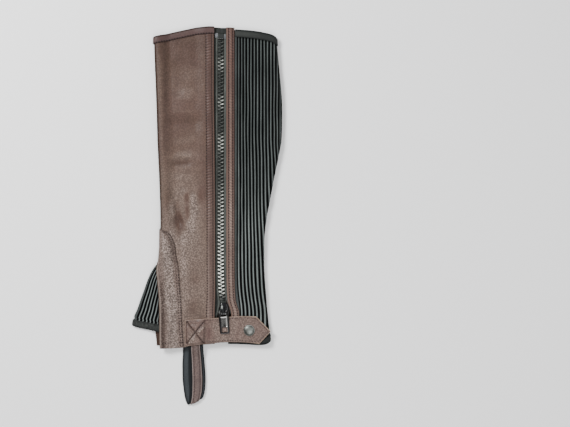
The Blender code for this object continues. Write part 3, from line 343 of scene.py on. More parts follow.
def makeLeather(name, base, deep, pale, grain=1, roughness=0.44, puckers=False,
                sheen=(0.226, 0.166, 0.14), glint=(0.42, 0.35, 0.3)):
    # hide: two browns in soft patches, pebbles with dark borders and, where the paintedSheen
    # attribute
    # says, painted sheen: a paler tone with painted glints on the pebbles; painted shade in
    # creases and seams and pale raw edges from the piece's attributes
    material, tree = newMaterial(name)
    cell = {key: 1000 / leatherLook[key] for key in ("pebble", "fleck", "pit", "mottle", "patch")}
    patch = noise(tree, cell["patch"], 3, 0.6)
    mottle = noise(tree, cell["mottle"], 5, 0.7)
    fleck = noise(tree, cell["fleck"], 2, 0.6)
    pits = scaleTo(tree, noise(tree, cell["pit"], 1.5, 0.7), 0.52, 0.4, 0, 1)
    wander = noise(tree, 420, 1, output="Color")
    drift = scaled(tree, wander, 0.0012)
    moved = addNode(tree, "VectorMath", {0: tree.nodes["place"].outputs["Object"], 1: drift},
                    operation="ADD")
    cells = addNode(tree, "TexVoronoi", {"Vector": moved.outputs[0], "Scale": cell["pebble"]})
    pebble = scaleTo(tree, cells.outputs["Distance"], 0.15, 0.62, 1, 0)
    paintedSheen, paintedShade = attribute(tree, "paintedSheen"), attribute(tree, "paintedShade")
    tone = plus(tree, scaleTo(tree, patch, 0.36, 0.66, 0, 0.5), times(tree, paintedSheen, 1.1))
    tint = blend(tree, tone, deep, base)
    tint = scaled(tree, tint, scaleTo(tree, mottle, 0.3, 0.7, 0.91, 1.09))
    lit = times(tree, paintedSheen, scaleTo(tree, mottle, 0.3, 0.7, 0.9, 1.08))
    tint = blend(tree, times(tree, lit, 1.16), tint, sheen)
    tint = scaled(tree, tint, scaleTo(tree, paintedSheen, 0.75, 1, 1, 1.16))
    border = scaleTo(tree, paintedSheen, 0, 1, mix(1, 0.78, grain), mix(1, 0.42, grain))
    tint = scaled(tree, tint, scaleTo(tree, pebble, 0, 0.7, border, 1.04))
    dents = times(tree, pits, scaleTo(tree, paintedSheen, 0.1, 0.7, 0, grain))
    tint = scaled(tree, tint, scaleTo(tree, dents, 0, 1, 1, 0.66))
    glints = times(tree, times(tree, paintedSheen, paintedSheen), scaleTo(tree, fleck, 0.38, 0.62, 0.16, 0.3))
    glints = times(tree, glints, scaleTo(tree, pebble, 0.45, 0.95, 0, 1))
    tint = scaled(tree, blend(tree, glints, tint, glint), scaleTo(tree, paintedShade, 0, 1, 1, 0.3))
    feed(tree, "Specular IOR Level", times(tree, scaleTo(tree, paintedSheen, 0, 1, 0.16, 0.24),
                                           scaleTo(tree, paintedShade, 0.2, 0.9, 1, 0.1)))
    depth = times(tree, times(tree, pebble, scaleTo(tree, paintedSheen, 0, 1, 0.25, 0.8)),
                  leatherLook["pebbleDepth"] * grain)
    depth = plus(tree, depth, times(tree, fleck, leatherLook["fleckDepth"] * grain))
    if puckers:
        # slanted ripples that the sewing pulls across a strip, as a bump and as painted light and
        # shade
        along = addNode(tree, "UVMap", uv_map="UVMap").outputs[0]
        turned = addNode(tree, "Mapping", {"Vector": along, "Rotation": (0, 0, 0.35)})
        ripple = bands(tree, turned.outputs[0], 0.31416 / 3.6, "Y", 1.6, 2, 0.4)
        share = times(tree, ripple, attribute(tree, "pucker"))
        tint = scaled(tree, tint, scaleTo(tree, share, 0, 1, 0.78, 1.34))
        depth = plus(tree, depth, times(tree, share, 0.35))
    feed(tree, "Base Color", blend(tree, attribute(tree, "rawEdge"), tint, pale))
    feed(tree, "Roughness", scaleTo(tree, mottle, 0.3, 0.7, roughness + 0.07, roughness - 0.07))
    bumped(tree, depth)
    return material


def makeKnit(name, dark, light, across, along, sheen=0.25, gloss=0.12):
    # knitted elastic: dark knit, with painted light on the crests and the piece's tone from its
    # crest attribute, fine stitches on its UV
    material, tree = newMaterial(name, **{"Roughness": 0.85, "Sheen Weight": sheen,
                                          "Sheen Roughness": 0.4, "Specular IOR Level": gloss})
    flat = addNode(tree, "UVMap", uv_map="UVMap").outputs[0]
    sized = addNode(tree, "Mapping", {"Vector": flat, "Scale": (1 / across, 1 / along, 1)})
    rows = bands(tree, sized.outputs[0], 0.3183, "Y", 1.2, 2, 1.5)
    columns = bands(tree, sized.outputs[0], 0.3183, "X", 0.6, 1)
    fuzz, patch = noise(tree, 1400, 3), noise(tree, 45, 2)
    stitch = times(tree, rows, columns)
    crest = times(tree, attribute(tree, "crest"), scaleTo(tree, patch, 0.3, 0.7, 0.8, 1.1))
    paintedLight = times(tree, crest, scaleTo(tree, stitch, 0, 0.7, 0.62, 1.1))
    paintedLight = times(tree, paintedLight, scaleTo(tree, fuzz, 0.3, 0.7, 0.75, 1.2))
    feed(tree, "Base Color", blend(tree, paintedLight, dark, light))
    bumped(tree, plus(tree, times(tree, stitch, 0.18), times(tree, fuzz, 0.1)), 0.8)
    return material


def makeHard(name, base, roughness, metallic, scuff=0.12, bright=(0.62, 0.66, 0.62)):
    # plated or moulded surface: faint clouds in its colour and gloss, fine scratches in its bump,
    # and its bright colour as a painted highlight where the piece's paintedHighlight attribute
    # says
    material, tree = newMaterial(name, Metallic=metallic)
    cloud = noise(tree, 260, 4)
    low, high = tuple(0.9 * k for k in base), tuple(min(1.08 * k, 1) for k in base)
    colour = blend(tree, scaleTo(tree, cloud, 0.35, 0.65, 0, 1), low, high)
    feed(tree, "Base Color", blend(tree, attribute(tree, "paintedHighlight"), colour, bright))
    feed(tree, "Roughness", scaleTo(tree, cloud, 0.3, 0.7, roughness, roughness + scuff))
    bumped(tree, noise(tree, 2600, 2), 0.5, 0.00003)
    return material


# sheen and glint are the colours of the painted sheen and painted glints
hide = makeLeather("pebbledHide", (0.092, 0.061, 0.043), (0.077, 0.0455, 0.037), (0.3, 0.23, 0.19))
patchHide = makeLeather("patchHide", (0.09, 0.055, 0.044), (0.072, 0.043, 0.036),
                        (0.32, 0.25, 0.21), grain=1.1, roughness=0.42,
                        sheen=(0.24, 0.182, 0.156), glint=(0.46, 0.4, 0.375))
facingHide = makeLeather("facingHide", (0.078, 0.046, 0.038), (0.06, 0.034, 0.028),
                         (0.2, 0.12, 0.09), grain=0.5, roughness=0.46, puckers=True)
backHide = makeLeather("backFacingHide", (0.09, 0.047, 0.036), (0.068, 0.035, 0.028),
                       (0.2, 0.12, 0.09), grain=0.5, roughness=0.46, puckers=True)
stripHide = makeLeather("stripHide", (0.065, 0.043, 0.044), (0.051, 0.033, 0.034),
                        (0.26, 0.215, 0.2), grain=0.9, roughness=0.42)
bindHide = makeLeather("bindHide", (0.07, 0.043, 0.038), (0.056, 0.033, 0.031), (0.2, 0.13, 0.1),
                       grain=0.6, roughness=0.46)
strapHide = makeLeather("strapHide", (0.1, 0.06, 0.05), (0.08, 0.047, 0.043),
                        (0.4, 0.29, 0.21), grain=1, roughness=0.4,
                        sheen=(0.215, 0.155, 0.13), glint=(0.5, 0.42, 0.37))
# a knit's light colour is its painted crest light; a hard part's bright colour, its painted
# highlight
ribKnit = makeKnit("ribKnit", (0.0004, 0.0006, 0.0006), (0.225, 0.252, 0.245), 0.0009, 0.0007,
                   sheen=0, gloss=0.04)
bandKnit = makeKnit("bandKnit", (0.005, 0.006, 0.006), (0.041, 0.044, 0.041), 0.0008, 0.0008,
                    sheen=0.15)
loopKnit = makeKnit("loopKnit", (0.006, 0.007, 0.008), (0.055, 0.062, 0.068), 0.0012, 0.0007)
tapeWeave = makeKnit("tapeWeave", (0.022, 0.025, 0.023), (0.122, 0.13, 0.119), 0.0007, 0.0006)
thread = makeHard("brownThread", (0.009, 0.003, 0.003), 0.85, 0)
clearFilm = makeHard("clearFilm", (0.075, 0.08, 0.086), 0.34, 0, bright=(0.38, 0.39, 0.42))
toothPlastic = makeHard("toothPlastic", (0.01, 0.012, 0.011), 0.2, 0, bright=(0.95, 0.97, 0.88))
enamel = makeHard("blackEnamel", (0.003, 0.003, 0.004), 0.1, 0, scuff=0.06)
gunmetal = makeHard("gunmetal", (0.03, 0.028, 0.028), 0.16, 0.9, scuff=0.02,
                    bright=(0.8, 0.79, 0.76))
nickel = makeHard("dullNickel", (0.082, 0.085, 0.078), 0.4, 1, scuff=0.02)
print("materials ready")


def finishPiece(item, nodes=(), body="chap"):
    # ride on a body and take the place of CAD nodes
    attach(item, body)
    if nodes:
        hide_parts(*nodes)
    return item


# Leather tube --------------------------------------------------------------------------------

leatherSet = {
    "foldRoom": 8.2,  # inner height in the fold, then at the open slit
    "slitRoom": 6.5,
    "sagCalf": 3.2,  # inner height where the upper layer sags
    "sagAnkle": 4,
    "ridgeWidth": 17,  # of the slope up to the fold
    "underLiftHem": 4,  # how far the underside's ends lie up the leg
    "underLiftTop": 1,
    "height": 420,  # from hem to binding, which turns lengths into shares
}
# across, height, rise and reach of soft round swells, as in the solid
swells = [
    (-46, 338, 0.55, 15), (-33, 300, -0.45, 14), (-52, 262, -0.4, 13), (-41, 226, 0.5, 16),
    (-58, 186, 0.35, 15), (-30, 172, -0.4, 15), (-56, 385, 0.35, 14)]
# creases: start across, start height, end across, end height, half width, rise
creases = [
    (-66, 206, -60, 184, 4.4, -1.1), (-60, 184, -55.5, 166, 6.2, -1.5),
    (-55.5, 166, -53.5, 147, 5.2, -1), (-45, 202, -41.5, 184, 6.5, 1.1),
    (-41.5, 184, -45.5, 167, 6, 1), (-38, 194, -35.5, 177, 4.5, 0.7),
    (-35.5, 177, -41, 159, 5, 0.9), (-41, 159, -49.5, 144, 5, 0.8),
    (-29, 188, -29, 150, 5.5, -0.8), (-65, 194, -63, 180, 3.6, 0.9), (-38, 150, -34, 132, 6, -0.9),
    (-70, 214, -69, 178, 5, -0.9), (-63, 251.5, -39, 253, 4.2, 1),
    (-61, 242.5, -44, 243.5, 4.6, -1.1), (-64, 313, -30, 311, 7.5, 0.8),
    (-63, 297, -30, 296, 7.5, -0.8), (-47, 333, -43, 331, 7, 0.9), (-73, 404, -72, 330, 6, -0.55),
    (-72, 330, -73.5, 275, 6, -0.55), (-73.5, 275, -72, 232, 5.5, -0.5),
    (-60, 372, -50, 360, 8, -0.6), (-40, 386, -36, 378, 8, 0.5), (-26, 240, -22.5, 216, 4, -0.6),
    (-27, 135, -25, 100, 6, -0.6)]

# painted sheen, more or less: across, height, reach across, reach up, amount
paintedSheenSpots = [
    (-46, 336, 11, 9, 0.2), (-42, 365, 16, 14, 0.1), (-49, 252, 13, 5, 0.1),
    (-52, 243, 12, 4, -0.2), (-46, 303, 22, 9, -0.1), (-64, 182, 4, 11, 0.42),
    (-26, 201, 5, 11, -0.22), (-36.5, 186, 4, 12, 0.44), (-40, 160, 8, 9, 0.26),
    (-48, 140, 10, 12, 0.36), (-64.5, 150, 4, 6, 0.34), (-36, 254, 6, 6, 0.12),
    (-44, 188, 5, 14, -0.08), (-56.5, 168, 5.5, 11, -0.48), (-47.5, 157, 6, 9, -0.52),
    (-54, 146, 4, 5, -0.2), (-71, 195, 6, 14, -0.25), (-36, 102, 10, 20, -0.26),
    (-36, 147, 6, 8, 0.14), (-25, 100, 9, 30, 0.12), (-42, 108, 9, 26, 0.2),
    (-20, 230, 6, 40, -0.12), (-70, 100, 8, 40, 0.2), (-38, 54, 9, 17, -0.5),
    (-24, 66, 7, 16, 0.1), (-56, 205, 8, 12, 0.12), (-49.5, 106, 5, 20, 0.5),
    (-34, 88, 7, 7, -0.2), (-42, 62, 8, 12, 0.14), (-36, 400, 40, 26, -0.2)]

# painted sheen along lines: start across, start height, end across, end height, half width, amount
paintedSheenLines = [
    (-37.5, 200, -34.5, 178, 4.4, 0.44), (-34.5, 178, -40, 160, 5.2, 0.46),
    (-40, 160, -50.5, 143, 6.4, 0.42), (-62, 252, -40, 253, 2.4, 0.11),
    (-56, 257.5, -42, 260, 1.4, 0.09), (-61, 186, -56, 168, 5.5, -0.26),
    (-56, 168, -54, 147, 4.4, -0.22), (-45, 200, -43.5, 170, 3.8, -0.4),
    (-67, 186, -63, 176, 2.6, 0.2), (-55, 338, -38, 341, 2.4, 0.07),
    (-58, 330, -40, 331, 1.6, 0.1), (-62, 312, -38, 311, 2.6, 0.09), (-58, 272, -38, 276, 5, 0.1),
    (-68, 150, -60, 136, 3, 0.22), (-62, 226, -44, 223, 5, 0.16),
    (-81.6, 385, -78.3, 275, 2.6, 0.12), (-78.5, 275, -76, 225, 2.6, 0.08)]
# painted shade, darker and redder: across, height, reach across, reach up, amount
paintedShadeSpots = [
    (-55, 171, 6.5, 14, 0.19), (-53.5, 150, 4.5, 6, 0.12), (-62, 196, 5, 10, 0.1),
    (-73.2, 356, 4.2, 50, 0.2), (-50, 410, 60, 50, 0.3), (-74, 300, 4.5, 40, 0.1),
    (-52, 243, 12, 3.6, 0.16), (-44, 301, 24, 6, 0.13), (-50, 285, 10, 7, 0.07),
    (-35, 100, 10, 22, 0.11), (-30, 200, 6, 16, 0.06), (-37, 48, 10, 14, 0.12),
    (-28, 41, 20, 6, 0.11), (-62, 342, 5, 16, 0.12), (-24, 400, 12, 8, 0.1),
    (-31, 353, 5, 12, 0.09), (-30, 292, 5, 7, 0.08), (-22, 320, 5, 80, 0.05)]

# share of the painted sheen that each piece takes
paintedSheenShares = {"frontFacing": 0.55, "backFacing": 0.6, "ankleStrap": 0.8, "loopStrip": 0.45,
               "anklePatch": 1.25, "topBindingHide": 1.6}


def paintedSheenAt(points):
    # painted sheen: how far the pebbles are painted as catching the light; more toward the ankle,
    # uneven in soft patches
    x, y = points[..., 0], points[..., 1]
    total = 0.03 + 0.4 * smoothStep(y, 285, 150) + 0.16 * smoothStep(y, 150, 40)
    total = total * (1 + 0.25 * hashNoise(x / 24 + 3, y / 30, 51)) + creaseRise(x, y, paintedSheenLines)
    total = total * (1 - 0.45 * between(x, -36, -22, -9, -6)) + spots(x, y, paintedSheenSpots)
    return np.clip(total, 0, 1) * smoothStep(points[..., 2], 1.9, 3.2)


def leatherHeight(across, share):
    # up the leg at a share of the way from the hem line to the top line, less the binding
    hem = curveThrough(hemLine, 1, across)
    step = shared["gap"] + shared["binding"]
    return hem + share * (curveThrough(leatherTop, 1, across) - step - hem)


def leatherShare(height):
    # the other way round, at the front fold: (height - hem) / (top - hem)
    across = curveThrough(folds, 1, height)
    hem = leatherHeight(across, 0)
    return (height - hem) / (leatherHeight(across, 1) - hem)


def creaseRise(x, y, lines):
    # sum of rounded troughs and ridges: rise * exp(-(distance to the line / half width)^2)
    total = np.zeros(np.broadcast(x, y).shape)
    for x0, y0, x1, y1, half, rise in lines:
        alongX, alongY = x1 - x0, y1 - y0
        part = np.clip(((x - x0) * alongX + (y - y0) * alongY) / (alongX ** 2 + alongY ** 2), 0, 1)
        away = np.hypot(x - x0 - part * alongX, y - y0 - part * alongY)
        total = total + rise * np.exp(-(away / half) ** 2)
    return total


def leatherRows(shares):
    # per row: ridge line, zip rim, cut edges and how far the slit has opened
    shares = np.asarray(shares, float)[:, None]
    front, rim = np.full_like(shares, -84), np.full_like(shares, -9)
    for _ in range(4):
        height = leatherHeight(front, shares)
        front = curveThrough(folds, 1, height)
        rim = curveThrough(zipLines, 2, leatherHeight(rim, shares)) - shared["zipInset"]
    opened = 1 - smoothStep(height, shared["slitOpen"], shared["slitTop"])
    room = mix(leatherSet["slitRoom"], leatherSet["foldRoom"],
               smoothStep(height, shared["slitOpen"], 125))
    return {"share": shares, "front": front, "rim": rim, "ridge": front + shared["foldHalf"],
            "opened": opened, "room": room, "under": curveThrough(underEdge, 1, height)}


def upperRoom(across, height, rows):
    # inner height: sag, rising to the zip level by the zip and to the fold's room at the ridge
    sag = mix(leatherSet["sagAnkle"], leatherSet["sagCalf"], smoothStep(height, 60, 110))
    reach = mix(15, 26, smoothStep(height, 50, 110))
    byZip = smoothStep(across, rows["rim"] - reach, rows["rim"] - 9.5)
    calm = (1 - byZip) * smoothStep(height, 120, 160)
    swell = spots(across, 0.6 * height, [(place, 0.6 * up, size, size, rise)
                                         for place, up, rise, size in swells])
    crease = creaseRise(across, height, creases) * smoothStep(across, rows["ridge"] + 2,
                                                             rows["ridge"] + 9)
    level = mix(sag, shared["zipLevel"], byZip) + calm * (swell + crease)
    byFold = smoothStep(across, rows["ridge"] + leatherSet["ridgeWidth"], rows["ridge"])
    return mix(level, rows["room"], byFold)


def leatherInner(place, rows, lower):
    # 0 to 1 zip rim to ridge, 1 to 3 half circle of the fold, 3 to 4 underside to the seam
    flat, turn = np.clip(place, 0, 1), np.clip(place - 1, 0, 2)
    back = np.clip(place - 3, 0, 1)
    across = mix(rows["rim"], rows["ridge"], flat)
    room = upperRoom(across, leatherHeight(across, rows["share"]), rows)
    angle = (1 - turn) * math.pi / 2
    wall = shared["leather"]
    foldX = rows["ridge"] - (shared["foldHalf"] - wall) * np.cos(angle)
    foldZ = (rows["room"] + wall) / 2 + (rows["room"] - wall) / 2 * np.sin(angle)
    if lower:
        openX = mix(rows["under"], rows["ridge"], np.clip(turn - 1, 0, 1))
        openZ = wall
    else:
        openX = mix(rows["ridge"], rows["front"], np.clip(turn, 0, 1))
        openZ = rows["room"]
    foldX = mix(foldX, openX, rows["opened"])
    foldZ = mix(foldZ, openZ, rows["opened"])
    x = np.where(place <= 1, across, foldX)
    z = np.where(place <= 1, room, foldZ)
    seamX = shared["seamAcross"] - shared["seamHalf"]
    x = np.where(place >= 3, mix(rows["ridge"], seamX, back), x)
    z = np.where(place >= 3, wall, z)
    turned = smoothStep(place, 2, 3)
    if lower:
        turned = mix(turned, 1, rows["opened"])
    lift = mix(leatherSet["underLiftHem"], leatherSet["underLiftTop"], rows["share"])
    return stack(x, leatherHeight(x, rows["share"]) + turned * lift, z)


def leatherSurface(place, shares, lower=False):
    # inner points, outer points a wall further out, and outward directions
    rows = leatherRows(shares)
    place = np.asarray(place, float)
    place = np.broadcast_to(place, (len(shares), place.shape[-1]))
    closed = rows["opened"] < 1e-4
    low = np.where(closed, 0, 2 if lower else 0)
    high = np.where(closed, 4, 4 if lower else 2)
    inner = leatherInner(place, rows, lower)
    run = (leatherInner(np.clip(place + 0.012, low, high), rows, lower)
           - leatherInner(np.clip(place - 0.012, low, high), rows, lower))
    outward = unit(stack(run[..., 2], 0, -run[..., 0]))
    return inner, inner + shared["leather"] * outward, outward


def leatherDetail(points, place):
    # fine unevenness of the hide, and painted shade in creases, at the painted shade spots and on
    # the fold's outer side
    x, y = points[..., 0], points[..., 1]
    fine = 0.1 * hashNoise(x / 9, y / 13) + 0.05 * hashNoise(x / 3.7, y / 4.4, 3)
    wrinkle = hashNoise(x / 16 + 0.3 * hashNoise(x / 20, y / 20, 5), y / 3.4, 2)
    where = smoothStep(hashNoise(x / 30, y / 26, 8), -0.1, 0.6)
    rise = (fine - 0.1 * np.maximum(wrinkle, 0) * where) * between(place, 0, 0.1, 1.9, 2.6)
    paintedShade = np.clip(-creaseRise(x, y, creases), 0, 1) * smoothStep(place, 1.2, 0.9)
    dark = (0.1 * paintedShade + spots(x, y, paintedShadeSpots)) * smoothStep(place, 2.2, 1.9)
    # painted shade on the outer side of the fold
    side = 0.74 * smoothStep(place, 1.06, 1.55) + 0.26 * smoothStep(place, 0.968, 1.01)
    return rise, np.maximum(dark, side * smoothStep(place, 2.8, 2.2))


leatherHeights = np.concatenate([
    np.linspace(-3.3, 107.5, 58), [109, 110.4, 111.6, 112.5], np.linspace(114, 394, 165)])
leatherShares = np.concatenate([np.maximum(leatherShare(leatherHeights), 0),
                                np.linspace(float(leatherShare(394)), 1, 14)[1:]])
upperPlaces = steps(0, (0.8, 70), (1, 20), (2, 13))
lowerPlaces = steps(2, (3, 11), (4, 14))


def makeLeatherTube():
    # upper and lower layer share their column of points where the slit is closed
    apex = int(np.argmin(np.abs(leatherHeights - shared["slitTop"])))
    upperIn, upperOut, upperDir = leatherSurface(upperPlaces, leatherShares)
    lowerIn, lowerOut, _ = leatherSurface(lowerPlaces, leatherShares, lower=True)
    size = upperIn.shape[:2]
    places = np.broadcast_to(upperPlaces, size)
    rise, paintedShade = leatherDetail(upperOut, places)
    edge = smoothStep(places, 1.9, 1.97) * (np.arange(size[0]) < apex)[:, None]
    upperOut = upperOut + rise[..., None] * upperDir - (0.45 * edge)[..., None] * upperDir
    upperNumbers = numbered(size)
    fresh = np.ones(lowerIn.shape[:2], bool)
    fresh[apex:, 0] = False
    lowerNumbers = np.zeros(lowerIn.shape[:2], int)
    lowerNumbers[fresh] = upperNumbers.size + np.arange(fresh.sum())
    lowerNumbers[apex:, 0] = upperNumbers[apex:, -1]
    inner = np.concatenate([upperIn.reshape(-1, 3), lowerIn[fresh]])
    outer = np.concatenate([upperOut.reshape(-1, 3), lowerOut[fresh]])
    # painted shade: the upper layer's from leatherDetail, an even share on the lower layer
    dark = np.concatenate([paintedShade.ravel(), np.full(fresh.sum(), 0.6)])
    raw = np.concatenate([0.8 * edge.ravel(), np.zeros(fresh.sum())])
    item = shell("leatherTube", inner, outer, hide, {"paintedShade": dark, "rawEdge": raw},
                 grids=[upperNumbers, lowerNumbers])
    finishPiece(item, ["leather_panel"])
    print("leather tube made")


# Ribbed elastic tube -------------------------------------------------------------------------

elasticSet = {
    "firstCrest": 24,  # from the teeth to the first rib
    "pitch": 4,  # between ribs
    "widen": 0.032,  # of the pitch from rib to rib
    "ribs": 15,
    "rise": 1,  # of a rib over the web
    "riseAtFold": 0.35,
    "drift": 0.35,  # how far the ribs wander
    "crowd": 0.26,  # how the ribs close up toward the fold
    "foldCalf": 6.4,  # height of the back fold's inside
    "foldAnkle": 5.2,
    "sag": 3.7,
    "height": 417,  # between its two bindings' folds
    "easeLength": 3,  # over which the ribs rise beyond a binding
    "samples": (70, 41, 39),  # columns of the flat, the fold and the underside
}
# height, how far apart the ribs lie against the calf
ribStretch = [
    (0, 1.22), (61, 1.21), (114, 1.16), (141, 1.12), (168, 1.08), (194, 1.06),
    (247, 1.03), (280, 1), (430, 1)]


def elasticHeight(across, share):
    # as leatherHeight, with a binding at the hem too
    step = shared["gap"] + shared["binding"]
    hem = curveThrough(hemLine, 1, across) + step
    return hem + share * (curveThrough(elasticTop, 1, across) - step - hem)


def elasticPaths(shares):
    # valley-level outer face of every row, its outward directions and distances from the teeth
    shares = np.asarray(shares, float)[:, None]
    start, back = np.full_like(shares, 9), np.full_like(shares, 70)
    for _ in range(4):
        start = curveThrough(zipLines, 3, elasticHeight(start, shares))
        start = start + shared["zipInset"]
        back = curveThrough(folds, 2, elasticHeight(back, shares))
    height = elasticHeight(40, shares)
    teeth = curveThrough(zipLines, 1, elasticHeight(start, shares))
    calf = smoothStep(height, 110, 230)
    wall = shared["elastic"]
    centre = back - shared["foldHalf"]
    top = mix(elasticSet["foldAnkle"], elasticSet["foldCalf"], calf) + wall
    flatCount, foldCount, underCount = elasticSet["samples"]
    flat = start + (centre - start) * parts(flatCount)
    sag = mix(shared["zipLevel"], mix(shared["zipLevel"], elasticSet["sag"], calf),
              smoothStep(flat, 22, 34)) + wall
    level = mix(sag, top, smoothStep(flat, centre - 15, centre))
    angle = np.linspace(math.pi / 2, -math.pi / 2, foldCount + 1)[1:]
    turnX = centre + (shared["foldHalf"] - elasticSet["riseAtFold"]) * np.cos(angle)
    turnZ = top / 2 * (1 + np.sin(angle))
    seamX = shared["seamAcross"] + shared["seamHalf"]
    under = centre + (seamX - centre) * parts(underCount + 1)[1:]
    x = np.concatenate([flat, turnX, under], axis=1)
    z = np.concatenate([level, turnZ, np.zeros_like(under)], axis=1)
    turned = np.concatenate([np.zeros(flatCount), smoothStep(-np.sin(angle), -0.2, 1),
                             np.ones(underCount)])
    lift = mix(leatherSet["underLiftHem"], leatherSet["underLiftTop"], shares)
    y = elasticHeight(x, shares) + turned * lift
    runX, runZ = np.gradient(x, axis=1), np.gradient(z, axis=1)
    run = np.cumsum(np.hypot(np.diff(x, axis=1), np.diff(z, axis=1)), axis=1)
    distance = start - teeth + np.concatenate([np.zeros_like(start), run], axis=1)
    return {"points": stack(x, y, z), "outward": unit(stack(-runZ, 0, runX)),
            "distance": distance, "arc": distance[:, flatCount - 1:flatCount], "height": height,
            "stretch": curveThrough(ribStretch, 1, height)}


def onPaths(paths, distance):
    # points and directions at given distances, straight between each row's samples
    table = paths["distance"]
    distance = np.broadcast_to(distance, (len(table), np.shape(distance)[-1]))

    def sampled(values):
        return np.array([[np.interp(distance[row], table[row], values[row, :, axis])
                          for axis in range(3)] for row in range(len(table))]).transpose(0, 2, 1)

    return sampled(paths["points"]), unit(sampled(paths["outward"]))


def crestDistance(rib, stretch):
    # first + stretch * (pitch * rib + widen * rib^2)
    return elasticSet["firstCrest"] + stretch * (elasticSet["pitch"] * rib
                                                 + elasticSet["widen"] * rib ** 2)


def ribPhase(rib, count):
    # cord on a flat web: sqrt(1 - (distance / 0.33)^2) round each of count whole numbers, else 0
    cord = np.sqrt(np.maximum(1 - ((rib - np.round(rib)) / 0.33) ** 2, 0))
    return np.where((rib > -0.5) & (rib < count - 0.5), cord, 0)


# shares of the height that a binding covers, and in which the cords rise beyond it
elasticEdge = shared["bindingLap"] / elasticSet["height"]
ribEase = elasticSet["easeLength"] / elasticSet["height"]


def makeElasticTube():
    # cords are evenly numbered ribs, the web before and after them runs straight to both edges
    edge, eased, count = elasticEdge, ribEase, elasticSet["ribs"]
    shares = np.concatenate([[0, 0.5 * edge, edge], edge + eased * np.linspace(0.25, 1, 4),
                             np.linspace(0.034, 0.966, 150),
                             1 - edge - eased * np.linspace(1, 0.25, 4),
                             [1 - edge, 1 - 0.5 * edge, 1]])
    paths = elasticPaths(shares)
    ribs = np.linspace(-0.5, count - 0.5, 14 * count + 1)
    calf = smoothStep(paths["height"], 150, 260)
    inRibs = crestDistance(ribs, paths["stretch"])
    inRibs = inRibs - elasticSet["crowd"] * np.maximum(ribs - 10, 0) ** 2 * calf
    start, end = paths["distance"][:, :1], paths["distance"][:, -1:]
    first = inRibs[:, :1] + (start - inRibs[:, :1]) * np.linspace(1, 0, 11)
    last = inRibs[:, -1:] + (end - inRibs[:, -1:]) * parts(12)[1:]
    drift = elasticSet["drift"] * hashNoise(ribs[None] * 1.1, paths["height"] / 32, 23)
    inRibs = inRibs + drift * arch(np.clip(ribs + 0.5, 0, 1.5) / 3)
    distance = np.concatenate([first[:, :-1], inRibs, last], axis=1)
    rib = np.concatenate([np.full(first.shape[1] - 1, -1), ribs,
                          np.full(last.shape[1], count + 1)])
    points, outward = onPaths(paths, distance)
    y, up = points[..., 1], outward[..., 2]
    ease = between(shares, edge, edge + eased, 1 - edge - eased, 1 - edge)[:, None]
    rise = mix(elasticSet["riseAtFold"] * smoothStep(up, -0.6, -0.1), elasticSet["rise"],
               smoothStep(up, 0, 0.7))
    cord = ribPhase(rib, count)
    uneven = 1 + 0.12 * hashNoise(rib * 1.7, y / 24, 4)
    outer = points + (rise * cord * ease * uneven)[..., None] * outward
    inner = points - shared["elastic"] * outward
    # painted light on the rib crests: less by the bindings and round the fold's underside, weaker
    # toward the top, uneven in tone; a lighter flat margin by the facing
    crest = 0.93 * cord ** 5.5 * mix(0.3, 1, ease) * smoothStep(up, -0.5, 0.1)
    crest = crest * mix(1, 0.46, smoothStep(y, 90, 330))
    crest = crest * (1 + 0.2 * hashNoise(rib * 1.3, y / 40, 17))
    crest = crest * (1 - 0.12 * smoothStep(rib, 3, 0) * smoothStep(y, 120, 170))
    crest = np.maximum(crest, 0.27 * (rib < -0.6) * smoothStep(distance, 22, 20.6))
    uv = np.stack([distance, y], axis=-1) * 0.001
    item = shell("elasticTube", inner, outer, ribKnit, {"crest": crest}, uv)
    finishPiece(item, ["elastic_panel"])
    print("ribbed elastic made")


# Bindings ------------------------------------------------------------------------------------

bindingSet = {"crown": 0.3, "rimClear": 0.45}
leatherEdge = 1 - shared["bindingLap"] / leatherSet["height"]  # share at the flap's edge


def bindingShell(name, rim, rimOut, edge, edgeOut, clear, lip, flap, material, uv=None, low=None):
    # flap over the face in nine rows, a quarter turn round the rim and the lip's rows down it;
    # flap gives thickness, painted light and tone, and painted shade as values on the nine rows,
    # and one for the rest
    along, gap, where = unit(rim - edge), shared["gap"], parts(9)
    base = [mix(edge + gap * edgeOut, rim + gap * rimOut, part) for part in where]
    out = [unit(mix(edgeOut, rimOut, part)) for part in where]
    turn = np.linspace(0, math.pi / 2, 7)[1:]
    base += [rim + gap * math.cos(a) * rimOut + clear * math.sin(a) * along for a in turn]
    out += [math.cos(a) * rimOut + math.sin(a) * along for a in turn] + [along for _ in lip]
    base, out = np.stack(base + lip), np.stack(out)
    count = len(base)
    thick, crest, paintedShade = (np.concatenate([rows, np.full(count - 9, rest)])[:, None]
                            for rows, rest in flap)
    outer = base + thick[..., None] * out
    x, y = base[..., 0], base[..., 1]
    if low is None:
        # darker toward the back fold
        crest = crest * (1 - 0.55 * smoothStep(x, 36, 64))
        uv = stack(uv[None, :], (np.arange(count) * 0.0012)[:, None])
    else:
        outer[..., 2] = np.maximum(outer[..., 2], low)
        crest = crest * (0.8 + 0.5 * hashNoise(x / 1.6, y / 1.6, 21))
        uv = base[..., :2] * 0.001
    return shell(name, base, outer, material, {"crest": crest, "paintedShade": paintedShade}, uv)


def topFlap():
    # thin at its edge, swollen between with painted light, painted shade by its edge, toward the
    # rim and on the rest
    where, thick = parts(9), shared["binding"]
    rimDark = smoothStep(where, 0.8, 0.98)
    return ((thick * (0.55 + 0.45 * smoothStep(where, 0, 0.12))
             + bindingSet["crown"] * arch(where, 0.8), thick),
            ((0.35 + 0.65 * arch(where, 0.6)) * (1 - 0.8 * rimDark), 0.12),
            (smoothStep(where, 0.2, 0.02) * 0.8 + 0.8 * rimDark, 0.8))


def lipRows(rim, rimOut, edge, clear, depth):
    # three rows that stand clear of the rim and go down it by a third of the depth each
    start = rim + clear * unit(rim - edge)
    return [start - down * rimOut for down in np.linspace(0, depth, 4)[1:]]


